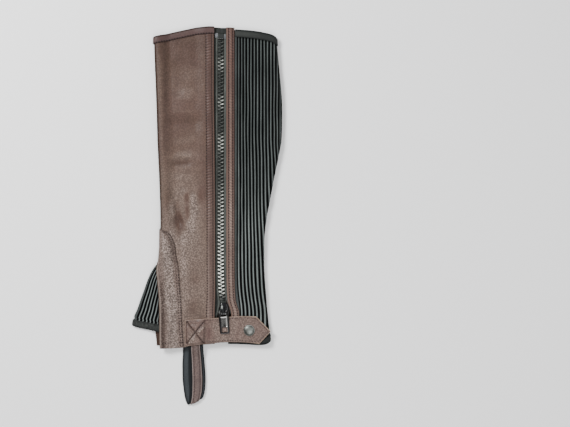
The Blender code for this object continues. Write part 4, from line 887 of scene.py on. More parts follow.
def makeBindings():
    # top binding over the leather, then the two knitted ones over the elastic's ends
    places = steps(0, (0.8, 40), (1, 16), (2.4, 18))
    _, rim, rimOut = leatherSurface(places, [1])
    _, edge, edgeOut = leatherSurface(places, [leatherEdge])
    reach = np.array([shared["zipInset"], 0, 0])
    rim, edge = (np.concatenate([p[0][:1] + reach, p[0]]) for p in (rim, edge))
    rimOut, edgeOut = (np.concatenate([p[0][:1], p[0]]) for p in (rimOut, edgeOut))
    lip = lipRows(rim, rimOut, edge, shared["gap"], shared["leather"])
    item = bindingShell("topBindingHide", rim, rimOut, edge, edgeOut, shared["gap"], lip,
                        topFlap(), bindHide, runLength(rim) * 0.001)
    finishPiece(item, ["top_binding_leather"])
    spans = {"topBindingKnit": (1, 1 - elasticEdge, 19.3, "top_binding_elastic"),
             "hemBindingKnit": (0, elasticEdge, None, "bottom_binding_elastic")}
    for name, (rimShare, edgeShare, first, node) in spans.items():
        paths = elasticPaths([rimShare, edgeShare])
        begin = paths["distance"][0, 0] if first is None else first
        reachable = begin + (paths["distance"][0, -1] - begin) * parts(400)
        points, outward = onPaths(paths, reachable)
        clear = points[0, :, 2] + 1.3 * outward[0, :, 2] > 0.3
        last, arc = reachable[np.nonzero(clear)[0].max()], paths["arc"]
        length = np.concatenate([begin + (arc - begin) * parts(40),
                                 arc + (last - arc[0, 0]) * parts(22)[1:]], axis=1)
        points, outward = onPaths(paths, length)
        lip = lipRows(points[0], outward[0], points[1], bindingSet["rimClear"], shared["elastic"])
        item = bindingShell(name, points[0], outward[0], points[1], outward[1],
                            bindingSet["rimClear"], lip, topFlap(), bandKnit, length[0] * 0.001)
        finishPiece(item, [node])
    print("bindings made")


# Zip facings ---------------------------------------------------------------------------------

facingSet = {
    "reach": 9.9,  # of the strip from the rim
    "lipFoot": 4.75,  # height of the turned edge's foot
    "rowsFront": (0.15, 0.96),  # the two sewn rows as shares of the reach
    "rowsBack": (0.23, 0.76),
    # darkFront: painted shade in the sewn row by the teeth
    "darkFront": 0.5,  # of the row by the teeth
    "groove": 0.42,  # depth where it is sewn
    "grooveHalf": 0.045,
}


def facingShell(name, surface, out, side, rows, dark, material):
    # lip turned down over the panel's rim, a rounded edge, then a strip with sewn grooves
    gap, count, where = shared["gap"], surface.shape[1], parts(surface.shape[1])
    rim, rimOut = surface[:, 0], out[:, 0]
    lip = [rim + gap * rimOut + np.array([side * gap, 0, 0]) for _ in range(3)]
    for item, part in zip(lip, (0, 0.5, 1)):
        item[:, 2] = mix(facingSet["lipFoot"], rim[:, 2] + gap - 0.25, part)
    base = np.stack(lip + [surface[:, k] + gap * out[:, k] for k in range(count)], axis=1)
    sideways = np.broadcast_to(np.array([side, 0, 0]), lip[0].shape)
    out = np.stack([sideways, sideways, unit(sideways + rimOut)]
                   + [out[:, k] for k in range(count)], axis=1)
    out[:, 3] = unit(0.35 * sideways + rimOut)
    up, low, high = base[..., 1], *rows

    def row(first, rest):  # values on the lip's three lines, then on the strip
        return np.concatenate([first, rest])[None]

    band = np.clip((where - low) / (high - low), 0, 1)
    puff = 0.45 * arch(band, 0.7) + 0.2 * arch(np.clip(where / low, 0, 1))
    sewn = np.maximum(*(bell(where, place, facingSet["grooveHalf"]) for place in rows))
    height = shared["strip"] * (1 - 0.6 * smoothStep(where, 0.93, 1)) + puff
    height = row([0.8, 0.8, 1.1], height - facingSet["groove"] * sewn)
    wave = 1 + 0.06 * hashNoise(up / 7, base[..., 0] / 3, 6)
    outer = base + (height * wave)[..., None] * out
    # painted shade on the turned lip and, where dark is given, in the sewn row by the teeth
    paintedShade = row([0.6, 0.5, 0.1], np.where(where < 0.5, dark, 0) * sewn)
    if side > 0:
        # painted shade where the strip tips down to the zip beside the calf, and painted sheen on
        # its outer half at the ankle
        spread, tipped = row([0, 0, 0], where), bell(up, 185, 60)
        paintedShade = paintedShade + tipped * (0.34 * bell(spread, 0.45, 0.13)
                                    + 0.22 * bell(spread, 0.1, 0.08))
        extra = 0.28 * bell(spread, 0.82, 0.16) * smoothStep(up, 185, 110)
    else:
        # painted highlight along the raised middle, weaker toward the top
        crown = bell(where, 0.5 * (low + high), 0.13)
        extra = row([0, 0, 0], 0.34 * crown) * mix(0.35, 1, smoothStep(up, 400, 290))
    raw = row([0, 0, 0], 0.3 * bell(where, 0, 0.05))
    pull = row([0, 0, 0], arch(band, 0.6) * (1 - sewn))
    pull = pull * (0.6 + 0.7 * hashNoise(up / 23, 0 * up, 14))
    distance = row([-2, -1, -0.3], where * facingSet["reach"])
    extra, paintedShade = (np.broadcast_to(values, up.shape) for values in (extra, paintedShade))
    return shell(name, base, outer, material,
                 {"paintedShade": paintedShade, "rawEdge": raw, "pucker": pull, "extraPaintedSheen": extra},
                 stack(distance, up))


def facingParts():
    # panel surface under both facings: rows up the leg, columns from the zip edge outwards
    front = np.concatenate([leatherShares[leatherShares < 0.9775], [0.9779]])
    rows = leatherRows(front)
    across = np.linspace(0, facingSet["reach"], 26)
    _, outer, outward = leatherSurface(across / (rows["rim"] - rows["ridge"]), front)
    paths = elasticPaths(np.concatenate([[0.0234], np.linspace(0.03, 0.985, 190), [1, 1.0075]]))
    return (outer, outward), onPaths(paths, paths["distance"][:, :1] + across)


def makeFacings(front, back):
    # the one on the leather faces the zip to the right, the one on the elastic to the left
    item = facingShell("frontFacing", *front, 1, facingSet["rowsFront"], facingSet["darkFront"],
                       facingHide)
    finishPiece(item, ["zip_facing_front"])
    item = facingShell("backFacing", *back, -1, facingSet["rowsBack"], 0, backHide)
    finishPiece(item, ["zip_facing_back"])
    print("facings made")


# Zip -----------------------------------------------------------------------------------------

zipSet = {
    "tapeLow": 3.3,  # underside of the tapes
    "tape": 1,  # thickness
    "tuck": 9,  # how far a tape goes under its facing
    "pitch": 4.84,  # between teeth on one side
    "bottom": 60.3,
    "top": 407.6,
    "low": 2.35,  # foot of the teeth
    "slant": 0.22,  # of a tooth
    "web": 4.1,  # half width of the weave under the teeth
    # painted highlights on the teeth: height, reach, amount
    "glints": [(374, 8, 0.5), (323, 8, 0.55), (269, 10, 0.8), (236, 26, 0.15)],
}
# height, edge of the front tape by the teeth, edge of the back tape
tapeEdges = [
    (-10, -4.9, 13.7), (39, -4.9, 13.8), (48, -3, 11.7), (57.5, -1.3, 9.3),
    (62, -1.9, 7.1), (75, -3.3, 5.7), (88, -4, 5), (110, -4.4, 4.6), (430, -4.4, 4.5)]


def flatSheet(name, left, right, heights, low, thick, material, columns=8, shade=None, lit=0.55):
    # level strip between two edge lines, with slightly rounded long edges; painted light and
    # uneven tone at the lit level, fading into painted shadow of the facing from shade's first to
    # its second distance off the edge by the teeth
    part = parts(columns)[None]
    x, y = np.broadcast_arrays(mix(left[:, None], right[:, None], part), heights[:, None])
    top = low + thick * (0.75 + 0.25 * arch(part, 0.4))
    crest = lit + 0.25 * hashNoise(x / 2, y / 9, 9)
    if shade is not None:
        inward = right[:, None] - x if shade[0] < 0 else x - left[:, None]
        crest = crest * smoothStep(inward, abs(shade[1]), abs(shade[0]))
    return shell(name, stack(x, y, low), stack(x, y, top), material, {"crest": crest},
                 stack(x, y) * 0.001)


def makeTapes():
    # band across the upper ends, web under the teeth, and a tape on either side
    ends = np.linspace(415.9, 423.2, 12)
    band = flatSheet("topBand", np.full(12, -17), np.full(12, 16), ends, zipSet["tapeLow"],
                     zipSet["tape"], bandKnit, columns=24)
    finishPiece(band, ["zip_top_band"])
    heights = np.linspace(zipSet["bottom"] - 4.6, zipSet["top"], 120)
    middle = curveThrough(zipLines, 1, heights)
    half = zipSet["web"]
    # painted shade on the web between the teeth
    web = flatSheet("teethWeb", middle - half, middle + half, heights, 2.15, 0.3, tapeWeave,
                    lit=0.3)
    finishPiece(web)
    heights = np.linspace(5.5, 415.5, 160)
    tuck = zipSet["tuck"]
    front = curveThrough(zipLines, 2, heights) - tuck
    back = curveThrough(zipLines, 3, heights) + tuck
    item = flatSheet("frontTape", front, curveThrough(tapeEdges, 1, heights), heights,
                     zipSet["tapeLow"], zipSet["tape"], tapeWeave, 24, (-1.2, -2.8))
    finishPiece(item, ["zip_tape_front"])
    item = flatSheet("backTape", curveThrough(tapeEdges, 2, heights), back, heights,
                     zipSet["tapeLow"], zipSet["tape"], tapeWeave, 24, (1.8, 3.4))
    finishPiece(item, ["zip_tape_back"])


def makeTeeth():
    # one tooth: an outline from the tape to past the middle, carried up through its levels
    half = np.array([(-4, 0.95), (-2.3, 0.9), (-1.7, 0.68), (-0.5, 0.66), (0.15, 1.05),
                     (1.15, 0.95), (1.5, 0)])
    outline = np.concatenate([half * (1, -1), half[-2::-1]])
    levels = [(0, 0), (0.9, 0), (1, 0.25), (1, 2.35), (0.86, 2.9), (0, 3.05)]
    middle = outline.mean(axis=0)
    template = np.stack([np.column_stack([middle + (outline - middle) * size,
                                          np.full(len(outline), z, float)]) for size, z in levels])
    quads = gridQuads(numbered(template.shape, True))
    template[..., 1] -= zipSet["slant"] * template[..., 0]
    left = np.arange(zipSet["bottom"] + 2, zipSet["top"] - 1, zipSet["pitch"])
    right = left + zipSet["pitch"] / 2
    right = right[right < zipSet["top"] - 1]
    sides = np.concatenate([np.ones(len(left)), -np.ones(len(right))])
    heights = np.concatenate([left, right])
    slope = (curveThrough(zipLines, 1, heights + 2) - curveThrough(zipLines, 1, heights - 2)) / 4
    across, along, up = template.reshape(-1, 3).T[:, None]
    centre = curveThrough(zipLines, 1, heights)[:, None]
    x = centre + sides[:, None] * across + slope[:, None] * along
    y = heights[:, None] + along - (slope * sides)[:, None] * across
    faces = quads[None] + (np.arange(len(heights)) * across.size)[:, None, None]
    faces = np.where((sides > 0)[:, None, None], faces, faces[:, :, ::-1]).reshape(-1, 4)
    # painted highlights on the teeth's outer tops: strong low on the zip, dark by the slider,
    # weaker higher on the left column
    glow = 0.04 + 0.8 * between(heights, 64, 80, 165, 232)
    glow = glow * (1 + 0.9 * smoothStep(heights, 145, 95))
    for place, reach, amount in zipSet["glints"]:
        glow = np.maximum(glow, amount * bell(heights, place, reach))
    late = mix(0.45, 1, smoothStep(heights, 175, 130))
    glow = 1.7 * glow * (0.85 + 0.3 * hashNoise(heights * 0.8, sides, 2))
    glow = (glow * np.where(sides < 0, 1, late))[:, None]
    paintedHighlight = np.clip(glow * smoothStep(up, 2, 2.9) * bell(across, -2.3, 1.5), 0, 1)
    item = meshFrom("zipTeeth", stack(x, y, zipSet["low"] + up), faces, toothPlastic,
                    {"paintedHighlight": paintedHighlight}, sharp=40, poles=True)
    finishPiece(item, ["zip_chain"])
    print("zip made,", len(heights), "teeth")


# middle and half size of each
topFilms = [(-5.9, 413.2, 2.1, 3.1), (5.55, 411.4, 1.2, 3.1)]


def makeTopFilms():
    # clear film that stiffens each tape's upper end: plate of rounded plan, rings swell and close
    planX, planY = squarish(turns(32), 0.45)
    rings = np.array([(0, 0), (0.97, 0), (1, 0.12), (1, 0.42), (0.93, 0.55), (0.5, 0.6), (0, 0.6)])
    size, rise = rings[:, :1], rings[:, 1:]
    low = zipSet["tapeLow"] + 0.72 * zipSet["tape"]
    points = np.concatenate([stack(x + halfX * size * planX, y + halfY * size * planY, low + rise)
                             for x, y, halfX, halfY in topFilms]).reshape(-1, 3)
    quads = gridQuads(numbered((len(rings), 32), True))
    faces = np.concatenate([quads, quads + 32 * len(rings)])
    # painted glint toward the film's upper end
    item = meshFrom("tapeFilms", points, faces, clearFilm,
                    {"paintedHighlight": 0.16 * smoothStep(points[:, 1], 409, 415.5)}, sharp=40, poles=True)
    finishPiece(item)


# Slider and snap -----------------------------------------------------------------------------

sliderSet = {
    "middle": 4.4,
    "bottom": 40.6,
    "top": 57.5,
    "halfFoot": 8.4,
    "halfHead": 4.6,
    "low": 2.3,
    "high": 8.1,
    "axis": (3.75, 46.4, 11.25),  # middle of the tab's hinge
    # size and rise of each level of the two plates
    "levels": [(0, 0), (0.88, 0), (0.97, 0.2), (1, 0.7), (1, 1.7), (0.93, 2), (0.93, 2.9),
               (1, 3.2), (1, 4.3), (0.97, 4.9), (0.9, 5.35), (0.78, 5.6), (0.55, 5.75),
               (0.25, 5.8), (0, 5.8)],
    # painted highlights on the enamel: across, height, reach across, reach up, amount
    "sliderHighlights": [(1.9, 52, 0.7, 1.8, 0.9), (-1.9, 44, 0.6, 2.2, 0.35), (0.2, 56.6, 1.6, 0.6, 0.12),
               (7.6, 45.5, 0.5, 2.6, 0.35)],
}


def makeSlider():
    # plan outline: rounded four-sided flare; levels swell out to two plates with a groove between
    across, along = squarish(turns(72), 0.42)
    share = (along + 1) / 2
    half = mix(sliderSet["halfFoot"], sliderSet["halfHead"], share) - 0.5 * arch(share)
    middleUp = (sliderSet["bottom"] + sliderSet["top"]) / 2
    reachUp = (sliderSet["top"] - sliderSet["bottom"]) / 2
    size, rise = np.array(sliderSet["levels"]).T[..., None]
    points = stack(sliderSet["middle"] + size * (across * half), middleUp + size * reachUp * along,
                   sliderSet["low"] + rise)
    quads = gridQuads(numbered(points.shape, True))
    # lug: a flat bar bent up, over and down again
    axisX, axisY, axisZ = sliderSet["axis"]
    bend = np.linspace(0, math.pi / 2, 7)
    foot, crown = sliderSet["high"] - 0.8, axisZ + 2.15
    pathY = np.concatenate([[axisY - 4.15], axisY - 4.15 + 1.6 * (1 - np.cos(bend)),
                            axisY + 4.2 - 1.6 * (1 - np.cos(bend[::-1])), [axisY + 4.2]])
    pathZ = np.concatenate([[foot], crown - 1.6 + 1.6 * np.sin(bend),
                            crown - 1.6 + 1.6 * np.sin(bend[::-1]), [foot]])
    out = unit(stack(0, -np.gradient(pathZ), np.gradient(pathY)))
    out = np.where(out[:, 2:] < -0.01, -out, out)
    out[0], out[-1] = (0, -1, 0), (0, 1, 0)
    thick = mix(1.05, 0.58, smoothStep(pathZ, crown - 1.6, crown))
    wide = mix(1.9, 1.45, smoothStep(pathZ, foot, crown))
    ringA, ringB = squarish(turns(16), 0.5)[0], squarish(turns(16), 0.6)[1]
    lug = (stack(axisX, pathY, pathZ)[:, None]
           + (wide[:, None] * ringA)[..., None] * np.array([1, 0, 0])
           + (thick[:, None] * ringB)[..., None] * out[:, None])
    caps = [np.broadcast_to(end.mean(axis=0), (1,) + end.shape) for end in (lug[0], lug[-1])]
    lug = np.concatenate([caps[0], lug, caps[1]])
    lugQuads = outwards(lug.reshape(-1, 3), gridQuads(numbered(lug.shape, True)))
    points = points.reshape(-1, 3)
    quads = np.concatenate([outwards(points, quads), lugQuads + len(points)])
    points = np.concatenate([points, lug.reshape(-1, 3)])
    # painted highlights on the top of the plates and the lug
    sliderHighlights = spots(points[:, 0], points[:, 1], sliderSet["sliderHighlights"])
    sliderHighlights = np.clip(sliderHighlights * smoothStep(points[:, 2], 6.5, 7.5), 0, 1)
    item = meshFrom("zipSlider", points, quads, enamel, {"paintedHighlight": sliderHighlights}, sharp=38, poles=True)
    finishPiece(item, ["zip_slider"])


tabSet = {
    "halfTop": 6.8,
    "halfFoot": 6.3,
    "bar": 0.8,
    "length": 29.5,
    "thick": 1.5,
    "yaw": 4.4,  # degrees
    # half width, foot and head of the two windows
    "eye": (3.7, -6.6, -0.8),
    "window": (3.9, -27.4, -20.8),
}


def makePullTab():
    # plate of even grid with two windows: a round frame, a sunk middle, and painted highlights
    (eyeHalf, eyeLow, eyeHigh), (holeHalf, holeLow, holeHigh) = tabSet["eye"], tabSet["window"]
    bar, length = tabSet["bar"], tabSet["length"]
    rim = np.array([1, 0.97, 0.88, 0.72, 0.5, 0.28, 0.12, 0])
    across = np.concatenate([-1 - rim, np.linspace(-1, 1, 15)[1:-1], 1 + rim[::-1]])
    ups = np.concatenate([[bar, bar - 0.12, -0.1], steps(eyeHigh, (eyeLow, 9), (holeHigh, 33),
                                                         (holeLow, 9)),
                          [-27.9, -28.6, -29.2, -29.4, -length]])
    half = mix(tabSet["halfTop"], tabSet["halfFoot"], smoothStep(ups, 0, -29))[:, None]
    edge = mix(eyeHalf, holeHalf, smoothStep(ups, -8, -20))[:, None]
    side, part = np.sign(across), np.abs(across)[None]
    x = side * np.where(part <= 1, edge * part, mix(edge, half, part - 1))
    y = ups[:, None] + 0 * x
    fromRim = np.minimum(half - np.abs(x), np.minimum(bar - y, y + length))
    corner = np.maximum(0, 1.6 - (half - np.abs(x))) / 1.6
    x = x - 0.5 * side * corner * (np.maximum(0, 1.6 - (y + length)) / 1.6)
    away = np.abs(x)
    rounded = np.sqrt(np.clip(1 - (1 - np.clip(fromRim / 0.9, 0, 1)) ** 2, 0, 1))
    plate = smoothStep(away, 3.9, 3.1) * between(y, -20, -19.2, -8.2, -7.4)
    hole = np.maximum(smoothStep(away, 4.6, 3.8) * between(y, -28.2, -27.2, -21, -20),
                      smoothStep(away, 4.4, 3.6) * smoothStep(y, -7.4, -6.4))
    height = tabSet["thick"] / 2 * mix(0.35, 1, rounded) * (1 - 0.55 * plate) * (1 - 0.4 * hole)
    turn = math.radians(tabSet["yaw"])
    axisX, axisY, axisZ = sliderSet["axis"]
    placeX = axisX + math.cos(turn) * x - math.sin(turn) * y
    placeY = axisY + math.sin(turn) * x + math.cos(turn) * y
    tabHighlight = (0.9 * bell(x, 3.5, 0.75) * between(y, -28, -26.4, -8, -3)
            + 0.5 * bell(y, -7.3, 0.6) * (away < 4.2)
            + 0.12 * plate * (1 + hashNoise(x / 2, y / 3, 33))
            + 0.4 * bell(x, -5.2, 0.7) * smoothStep(y, -4, 0))
    numbers, left, right = numbered(x.shape), 7, len(across) - 8
    rows = [int(np.argmin(np.abs(ups - level))) for level in (eyeHigh, eyeLow, holeHigh, holeLow)]
    grids = [numbers[:, :left + 1], numbers[:, right:]] + [
        numbers[rowSpan, left:right + 1] for rowSpan in
        (slice(rows[0] + 1), slice(rows[1], rows[2] + 1), slice(rows[3], None))]
    item = shell("pullTab", stack(placeX, placeY, axisZ - height),
                 stack(placeX, placeY, axisZ + height), gunmetal,
                 {"paintedHighlight": np.clip(tabHighlight, 0, 1)}, sharp=45, grids=grids)
    finishPiece(item, ["pull_tab"], "pull_tab")
    print("pull tab made")


snapSet = {
    "place": (38, 21.3, 10.4),  # middle of the cap's foot
    # radius, height
    "profile": [(0, 2.34), (1.2, 2.31), (2.4, 2.2), (3.5, 2.02), (4.5, 1.77), (5.3, 1.48),
                (5.85, 1.18), (6.15, 0.92), (6.3, 0.72), (6.5, 0.66), (6.75, 0.74), (7, 0.78),
                (7.22, 0.66), (7.3, 0.42), (7.25, 0.12), (7.05, 0), (0, 0)],
}


def makeSnap():
    # profile of (radius, height) turned about a vertical axis
    middleX, middleY, low = snapSet["place"]
    radius, height = np.array(snapSet["profile"]).T[..., None]
    x, y = radius * np.cos(turns(96)), radius * np.sin(turns(96))
    # painted highlight up and right of the middle and on the upper right of the rim
    paintedLight = 0.26 * np.exp(-((x - 1.3) ** 2 + (y - 1.8) ** 2) / 4.8 ** 2)
    paintedLight = paintedLight + 0.22 * bell(np.hypot(x, y), 7, 0.35) * smoothStep(x + y, 0, 7)
    points = stack(middleX + x, middleY + y, low + height)
    item = meshFrom("snapCap", points, gridQuads(numbered(x.shape, True)), nickel,
                    {"paintedHighlight": paintedLight}, sharp=38, poles=True)
    finishPiece(item, ["snap_cap"])


# Ankle patch ---------------------------------------------------------------------------------

patchSet = {"gap": 0.4, "thick": 1.2, "rowOffsets": (0.9, 3.6), "groove": 0.35, "bulge": 1}
# height, the patch's edge toward the zip
patchEdge = [
    (-5, -48.6), (0.4, -49.1), (34.3, -51.6), (59.9, -52.5), (71.8, -53.7), (89.6, -54.9),
    (104.5, -56.1), (119.3, -59.1), (134.2, -61.4), (144.3, -65.7), (149, -68.7), (152, -71.8),
    (154, -75.6), (154.7, -77.6), (155.2, -79.3)]


def patchRuns(heights):
    # per row: width of the flat leather, and the patch's right and left ends as run lengths
    shares = np.maximum(leatherShare(heights), 0)
    rows = leatherRows(shares)
    width = rows["rim"] - rows["ridge"]
    arc = math.pi / 2 * shared["foldHalf"]
    edge = np.full_like(width, -60)
    for _ in range(4):
        edge = curveThrough(patchEdge, 1, leatherHeight(edge, rows["share"]))
    lean = np.arccos(np.clip((rows["ridge"] - edge) / shared["foldHalf"], 0, 1))
    right = np.where(edge >= rows["ridge"], rows["rim"] - edge,
                     width + arc * (1 - lean / (math.pi / 2)))
    closed = smoothStep(heights, 112.5, 127)[:, None]
    left = np.where(rows["opened"] > 0.5, width + arc * (1 - 1.2 / shared["foldHalf"]),
                    width + arc * (1 + mix(-0.15, 0.42, closed)))
    return shares, width, arc, right, left


def runPlaces(runs, width, arc):  # run lengths from the zip's rim as places of leatherInner
    return np.where(runs <= width, runs / width, 1 + (runs - width) / arc)


def makePatch():
    # plate that lies on the hide, with its sewn edge, raised middle and, below the slit, raw edge
    heights = np.concatenate([np.linspace(-3.3, 107.5, 58), [109, 110.4, 111.6],
                              np.linspace(112.5, 144.3, 22), np.linspace(145.5, 154, 9),
                              [154.4, 154.7, 155, 155.2]])
    shares, width, arc, right, left = patchRuns(heights)
    runs = mix(right, left, parts(64)[None])
    _, outer, outward = leatherSurface(runPlaces(runs, width, arc), shares)
    inset, fromCut, up = runs - right, left - runs, heights[:, None]
    x, y = outer[..., 0], outer[..., 1]
    sewn = sum(bell(inset, row, 0.6) for row in patchSet["rowOffsets"])
    slit = smoothStep(up, 112, 104)
    middle = smoothStep(inset, 4.6, 8.6) * smoothStep(fromCut, 7.5, 13)
    thick = patchSet["thick"] * (0.55 + 0.45 * smoothStep(inset, 0, 0.9))
    thick = thick - patchSet["groove"] * sewn
    thick = thick + 0.1 * hashNoise(x / 5, y / 7, 11) + 0.05 * hashNoise(x / 2.1, y / 2.4, 12)
    thick = thick + patchSet["bulge"] * middle * (0.8 + 0.4 * hashNoise(0 * x, y / 26, 15))
    thick = thick - 0.4 * slit * (bell(fromCut, 4.6, 1.5) + smoothStep(fromCut, 1.2, 0))
    base = outer + patchSet["gap"] * outward
    top = base + thick[..., None] * outward
    # painted shade beside the cut edge, at the edge by the zip and along the sewn rows
    groove = 0.8 * bell(fromCut, 5.6, 3.6) * mix(0.1, 1, smoothStep(up, 100, 70))
    rim = smoothStep(inset, 0.9, 0.1) * mix(0.35, 0.8, smoothStep(y, 60, 110))
    sunk = 0.42 * bell(inset, 2.6, 2.4) * smoothStep(up, 88, 120)
    paintedShade = np.clip(np.maximum(0.34 * sewn + rim + sunk, groove), 0, 1)
    raw = 0.5 * smoothStep(fromCut, 1.6, 0.6) * slit
    # painted sheen on the raised middle, less elsewhere
    extra = 0.46 * (0.55 + 0.45 * bell(inset, 11.5, 6.5)) + 0.25 * bell(y, 128, 12)
    extra = middle * extra - 0.24
    item = shell("anklePatch", base, top, patchHide,
                 {"paintedShade": paintedShade, "rawEdge": raw, "extraPaintedSheen": extra})
    finishPiece(item, ["ankle_patch"])
    print("ankle patch made")


# Gusset --------------------------------------------------------------------------------------

gussetSet = {
    "wall": 1.2,
    "height": 3,  # of the folded pair of layers
    "tuck": -75,  # how far it goes in under the leather
    "ribs": 8,
    "rise": 0.9,
    "pitchLow": 5.1,  # between ribs at the hem, then at the top
    "pitchHigh": 3.3,
    "edgeLow": 5,  # from the fold to the first rib
    "edgeHigh": 3.4,
    "top": 108.4,
    "bound": 0.1,  # share of the height that the binding covers
    "turned": 8,  # columns of the fold that the binding and the pale margin take in
}
# height, fold
gussetFold = [
    (25, -118.4), (31.8, -118.6), (38.6, -116), (49.6, -111.1), (59.9, -107.6),
    (72.5, -103), (87, -97.9), (97.1, -93.3), (105, -88.2), (109, -85.2)]
# across, height
gussetHem = [
    (-119, 29.2), (-117, 27.8), (-112.8, 26.2), (-100, 23.3), (-87.4, 20.8), (-74, 18.4)]


def gussetHeight(across, share):  # from the gusset's hem line to its level top
    hem = curveThrough(gussetHem, 1, across)
    return hem + share * (gussetSet["top"] - hem)


def gussetFloor(across):  # it lies on the floor and climbs onto the leather's lower layer
    return 2.15 * smoothStep(across, -97.5, -90)


def gussetRows(shares, upperCount=150, underCount=16):
    # folded sheet per row: upper layer from the tuck out, the round fold, lower layer back in
    shares = np.asarray(shares, float)[:, None]
    fold = np.full_like(shares, -100)
    for _ in range(8):
        fold = curveThrough(gussetFold, 1, gussetHeight(fold, shares))
    fold = fold + 1.2 * smoothStep(shares, 0.15, 0.12)
    reach = gussetSet["tuck"] - fold
    half = gussetSet["height"] / 2
    pitch = mix(gussetSet["pitchLow"], gussetSet["pitchHigh"], shares)
    first = mix(gussetSet["edgeLow"], gussetSet["edgeHigh"], shares)
    depth = half + (reach - half) * np.linspace(1, 0, upperCount)
    rib = (depth - first) / pitch - 0.5
    upperX = fold + depth
    cut = curveThrough(folds, 1, gussetHeight(upperX, shares))
    ease = smoothStep(upperX, cut + 3, cut + 1) * smoothStep(shares, 0.1, 0.15)
    cord = ribPhase(rib, gussetSet["ribs"])
    angle = np.linspace(math.pi / 2, 1.5 * math.pi, 13)[1:-1]
    turnX = fold + half + half * np.cos(angle)
    turnZ = gussetFloor(fold) + half + half * np.sin(angle)
    underX = fold + half + (reach - half) * parts(underCount)
    x = np.concatenate([upperX, turnX, underX], axis=1)
    z = np.concatenate([gussetFloor(upperX) + gussetSet["height"], turnZ, gussetFloor(underX)], 1)
    ones = np.ones(underCount)
    outX = np.concatenate([np.zeros(upperCount), np.cos(angle), 0 * ones])
    outZ = np.concatenate([np.ones(upperCount), np.sin(angle), -ones])
    rest = np.zeros((len(shares), len(angle) + underCount))
    outward = stack(outX + 0 * x, 0, outZ)
    return {"points": stack(x, gussetHeight(x, shares), z), "outward": outward,
            "rise": np.concatenate([gussetSet["rise"] * cord * ease, rest], axis=1),
            "crest": np.concatenate([cord, rest], axis=1), "upper": upperCount,
            "depth": depth, "first": first}


def makeGusset():
    # folded fan, and its binding with a lip that reaches down over both layers
    shares = np.concatenate([[0, 0.05, 0.1], np.linspace(0.11, 0.15, 5),
                             np.linspace(0.165, 1, 64)])
    rows = gussetRows(shares)
    points, outward, upper = rows["points"], rows["outward"], rows["upper"]
    outer = points + rows["rise"][..., None] * outward
    # painted light on the rib crests and a paler margin by the fold, none under the leather
    margin = np.zeros(points.shape[:2])
    margin[:, :upper] = 0.26 * (rows["depth"] < rows["first"] - 1.2)
    margin[:, upper:upper + gussetSet["turned"]] = 0.26
    crest = np.maximum(rows["crest"] ** 9 * 0.95, margin) * smoothStep(points[..., 0], -80, -86)
    item = shell("instepGusset", points - gussetSet["wall"] * outward, outer, ribKnit,
                 {"crest": crest}, points[..., :2] * 0.001)
    finishPiece(item, ["gusset"])
    pair = gussetRows([0, gussetSet["bound"]], upperCount=60)
    keep = np.arange(pair["points"].shape[1]) < pair["upper"] + gussetSet["turned"]
    keep = keep & (pair["points"][0, :, 0] < -80)
    (rim, edge), (rimOut, edgeOut) = pair["points"][:, keep], pair["outward"][:, keep]
    gap, thick, where = shared["gap"], shared["binding"], parts(9)
    foot = np.minimum(gussetFloor(rim[:, 0]) + 0.1, rim[:, 2] - 0.3)
    lip = [rim + gap * unit(rim - edge) for _ in range(3)]
    for line, part in zip(lip, (0.35, 0.7, 1)):
        line[:, 2] = mix(line[:, 2], foot, part)
    # painted light on the flap's swollen middle
    flap = ((thick * (0.5 + 0.5 * smoothStep(where, 0, 0.12)) + 0.3 * arch(where), thick),
            (0.4 + 0.6 * arch(where), 0.35), (0 * where, 0))
    item = bindingShell("gussetBinding", rim, rimOut, edge, edgeOut, gap, lip, flap, bandKnit,
                        low=0.05)
    finishPiece(item, ["gusset_binding"])
    print("gusset made")


# Closing strap -------------------------------------------------------------------------------

strapSet = {
    "low": 8.3,  # its underside over the facings, patch, loop and strip
    "onPatch": 6.15,
    "onLoop": 7.7,
    "onStrip": 9.2,
    "box": (-45.4, -21.6, 3.6, 33.4),  # left, right, foot and head of the sewn box
    "tipSlant": 0.7,  # distance from the tip's slanted edges for each mm upward
    "rowInset": 2.4,  # of the sewn rows from the edge
}
# across, lower edge, upper edge
strapOutline = [
    (-47.2, 0.2, 34.4), (-44, 0.3, 34.9), (-40.5, 0.8, 35.2), (-33.5, 1.5, 35.8),
    (-26.5, 2.5, 36.3), (-23, 2.9, 36.6), (-20.2, 3.2, 36.9), (-12, 3.7, 37.3), (0, 5, 38),
    (14, 5.7, 39.5), (26, 5.6, 40.1), (38, 4.8, 40), (47.3, 4, 39.6), (51.6, 3.5, 35.2),
    (56, 8.2, 30.7), (60.5, 13.2, 26), (64.2, 17.2, 22.3), (66.4, 19.2, 20.6)]
# painted sheen and shade along lines, as paintedSheenLines
strapSheenLines = [
    (-30, 17, -21.5, 27, 1.3, 0.75), (-41.5, 3.8, -36, 9.6, 1.2, 0.6),
    (-8, 27, -7, 23, 5, 0.22), (13, 27, 20, 22, 4, 0.08), (-2, 12, 8, 10, 3.5, 0.14),
    (-16, 12, -15, 22, 3, -0.25), (22, 12, 25, 30, 3.5, -0.2)]


def strapLevel(across, height):
    # underside: rises from the patch to the zip's facing, over the loop and over its strip
    level = mix(strapSet["onPatch"], strapSet["low"], smoothStep(across, -33, -20.6))
    overLoop = between(across, -47.2, -43.4, -22.4, -20.4) * smoothStep(height, 30.5, 25)
    overStrip = between(across, -44, -40.2, -26.2, -22) * smoothStep(height, 16.5, 9.5)
    level = np.maximum(level, mix(level, strapSet["onLoop"], overLoop))
    return np.maximum(level, mix(level, strapSet["onStrip"], overStrip))


def strapSides(across):  # heights of the strap's lower and upper edge, straight between corners
    outline = np.array(strapOutline)
    return [np.interp(across, outline[:, 0], outline[:, k]) for k in (1, 2)]


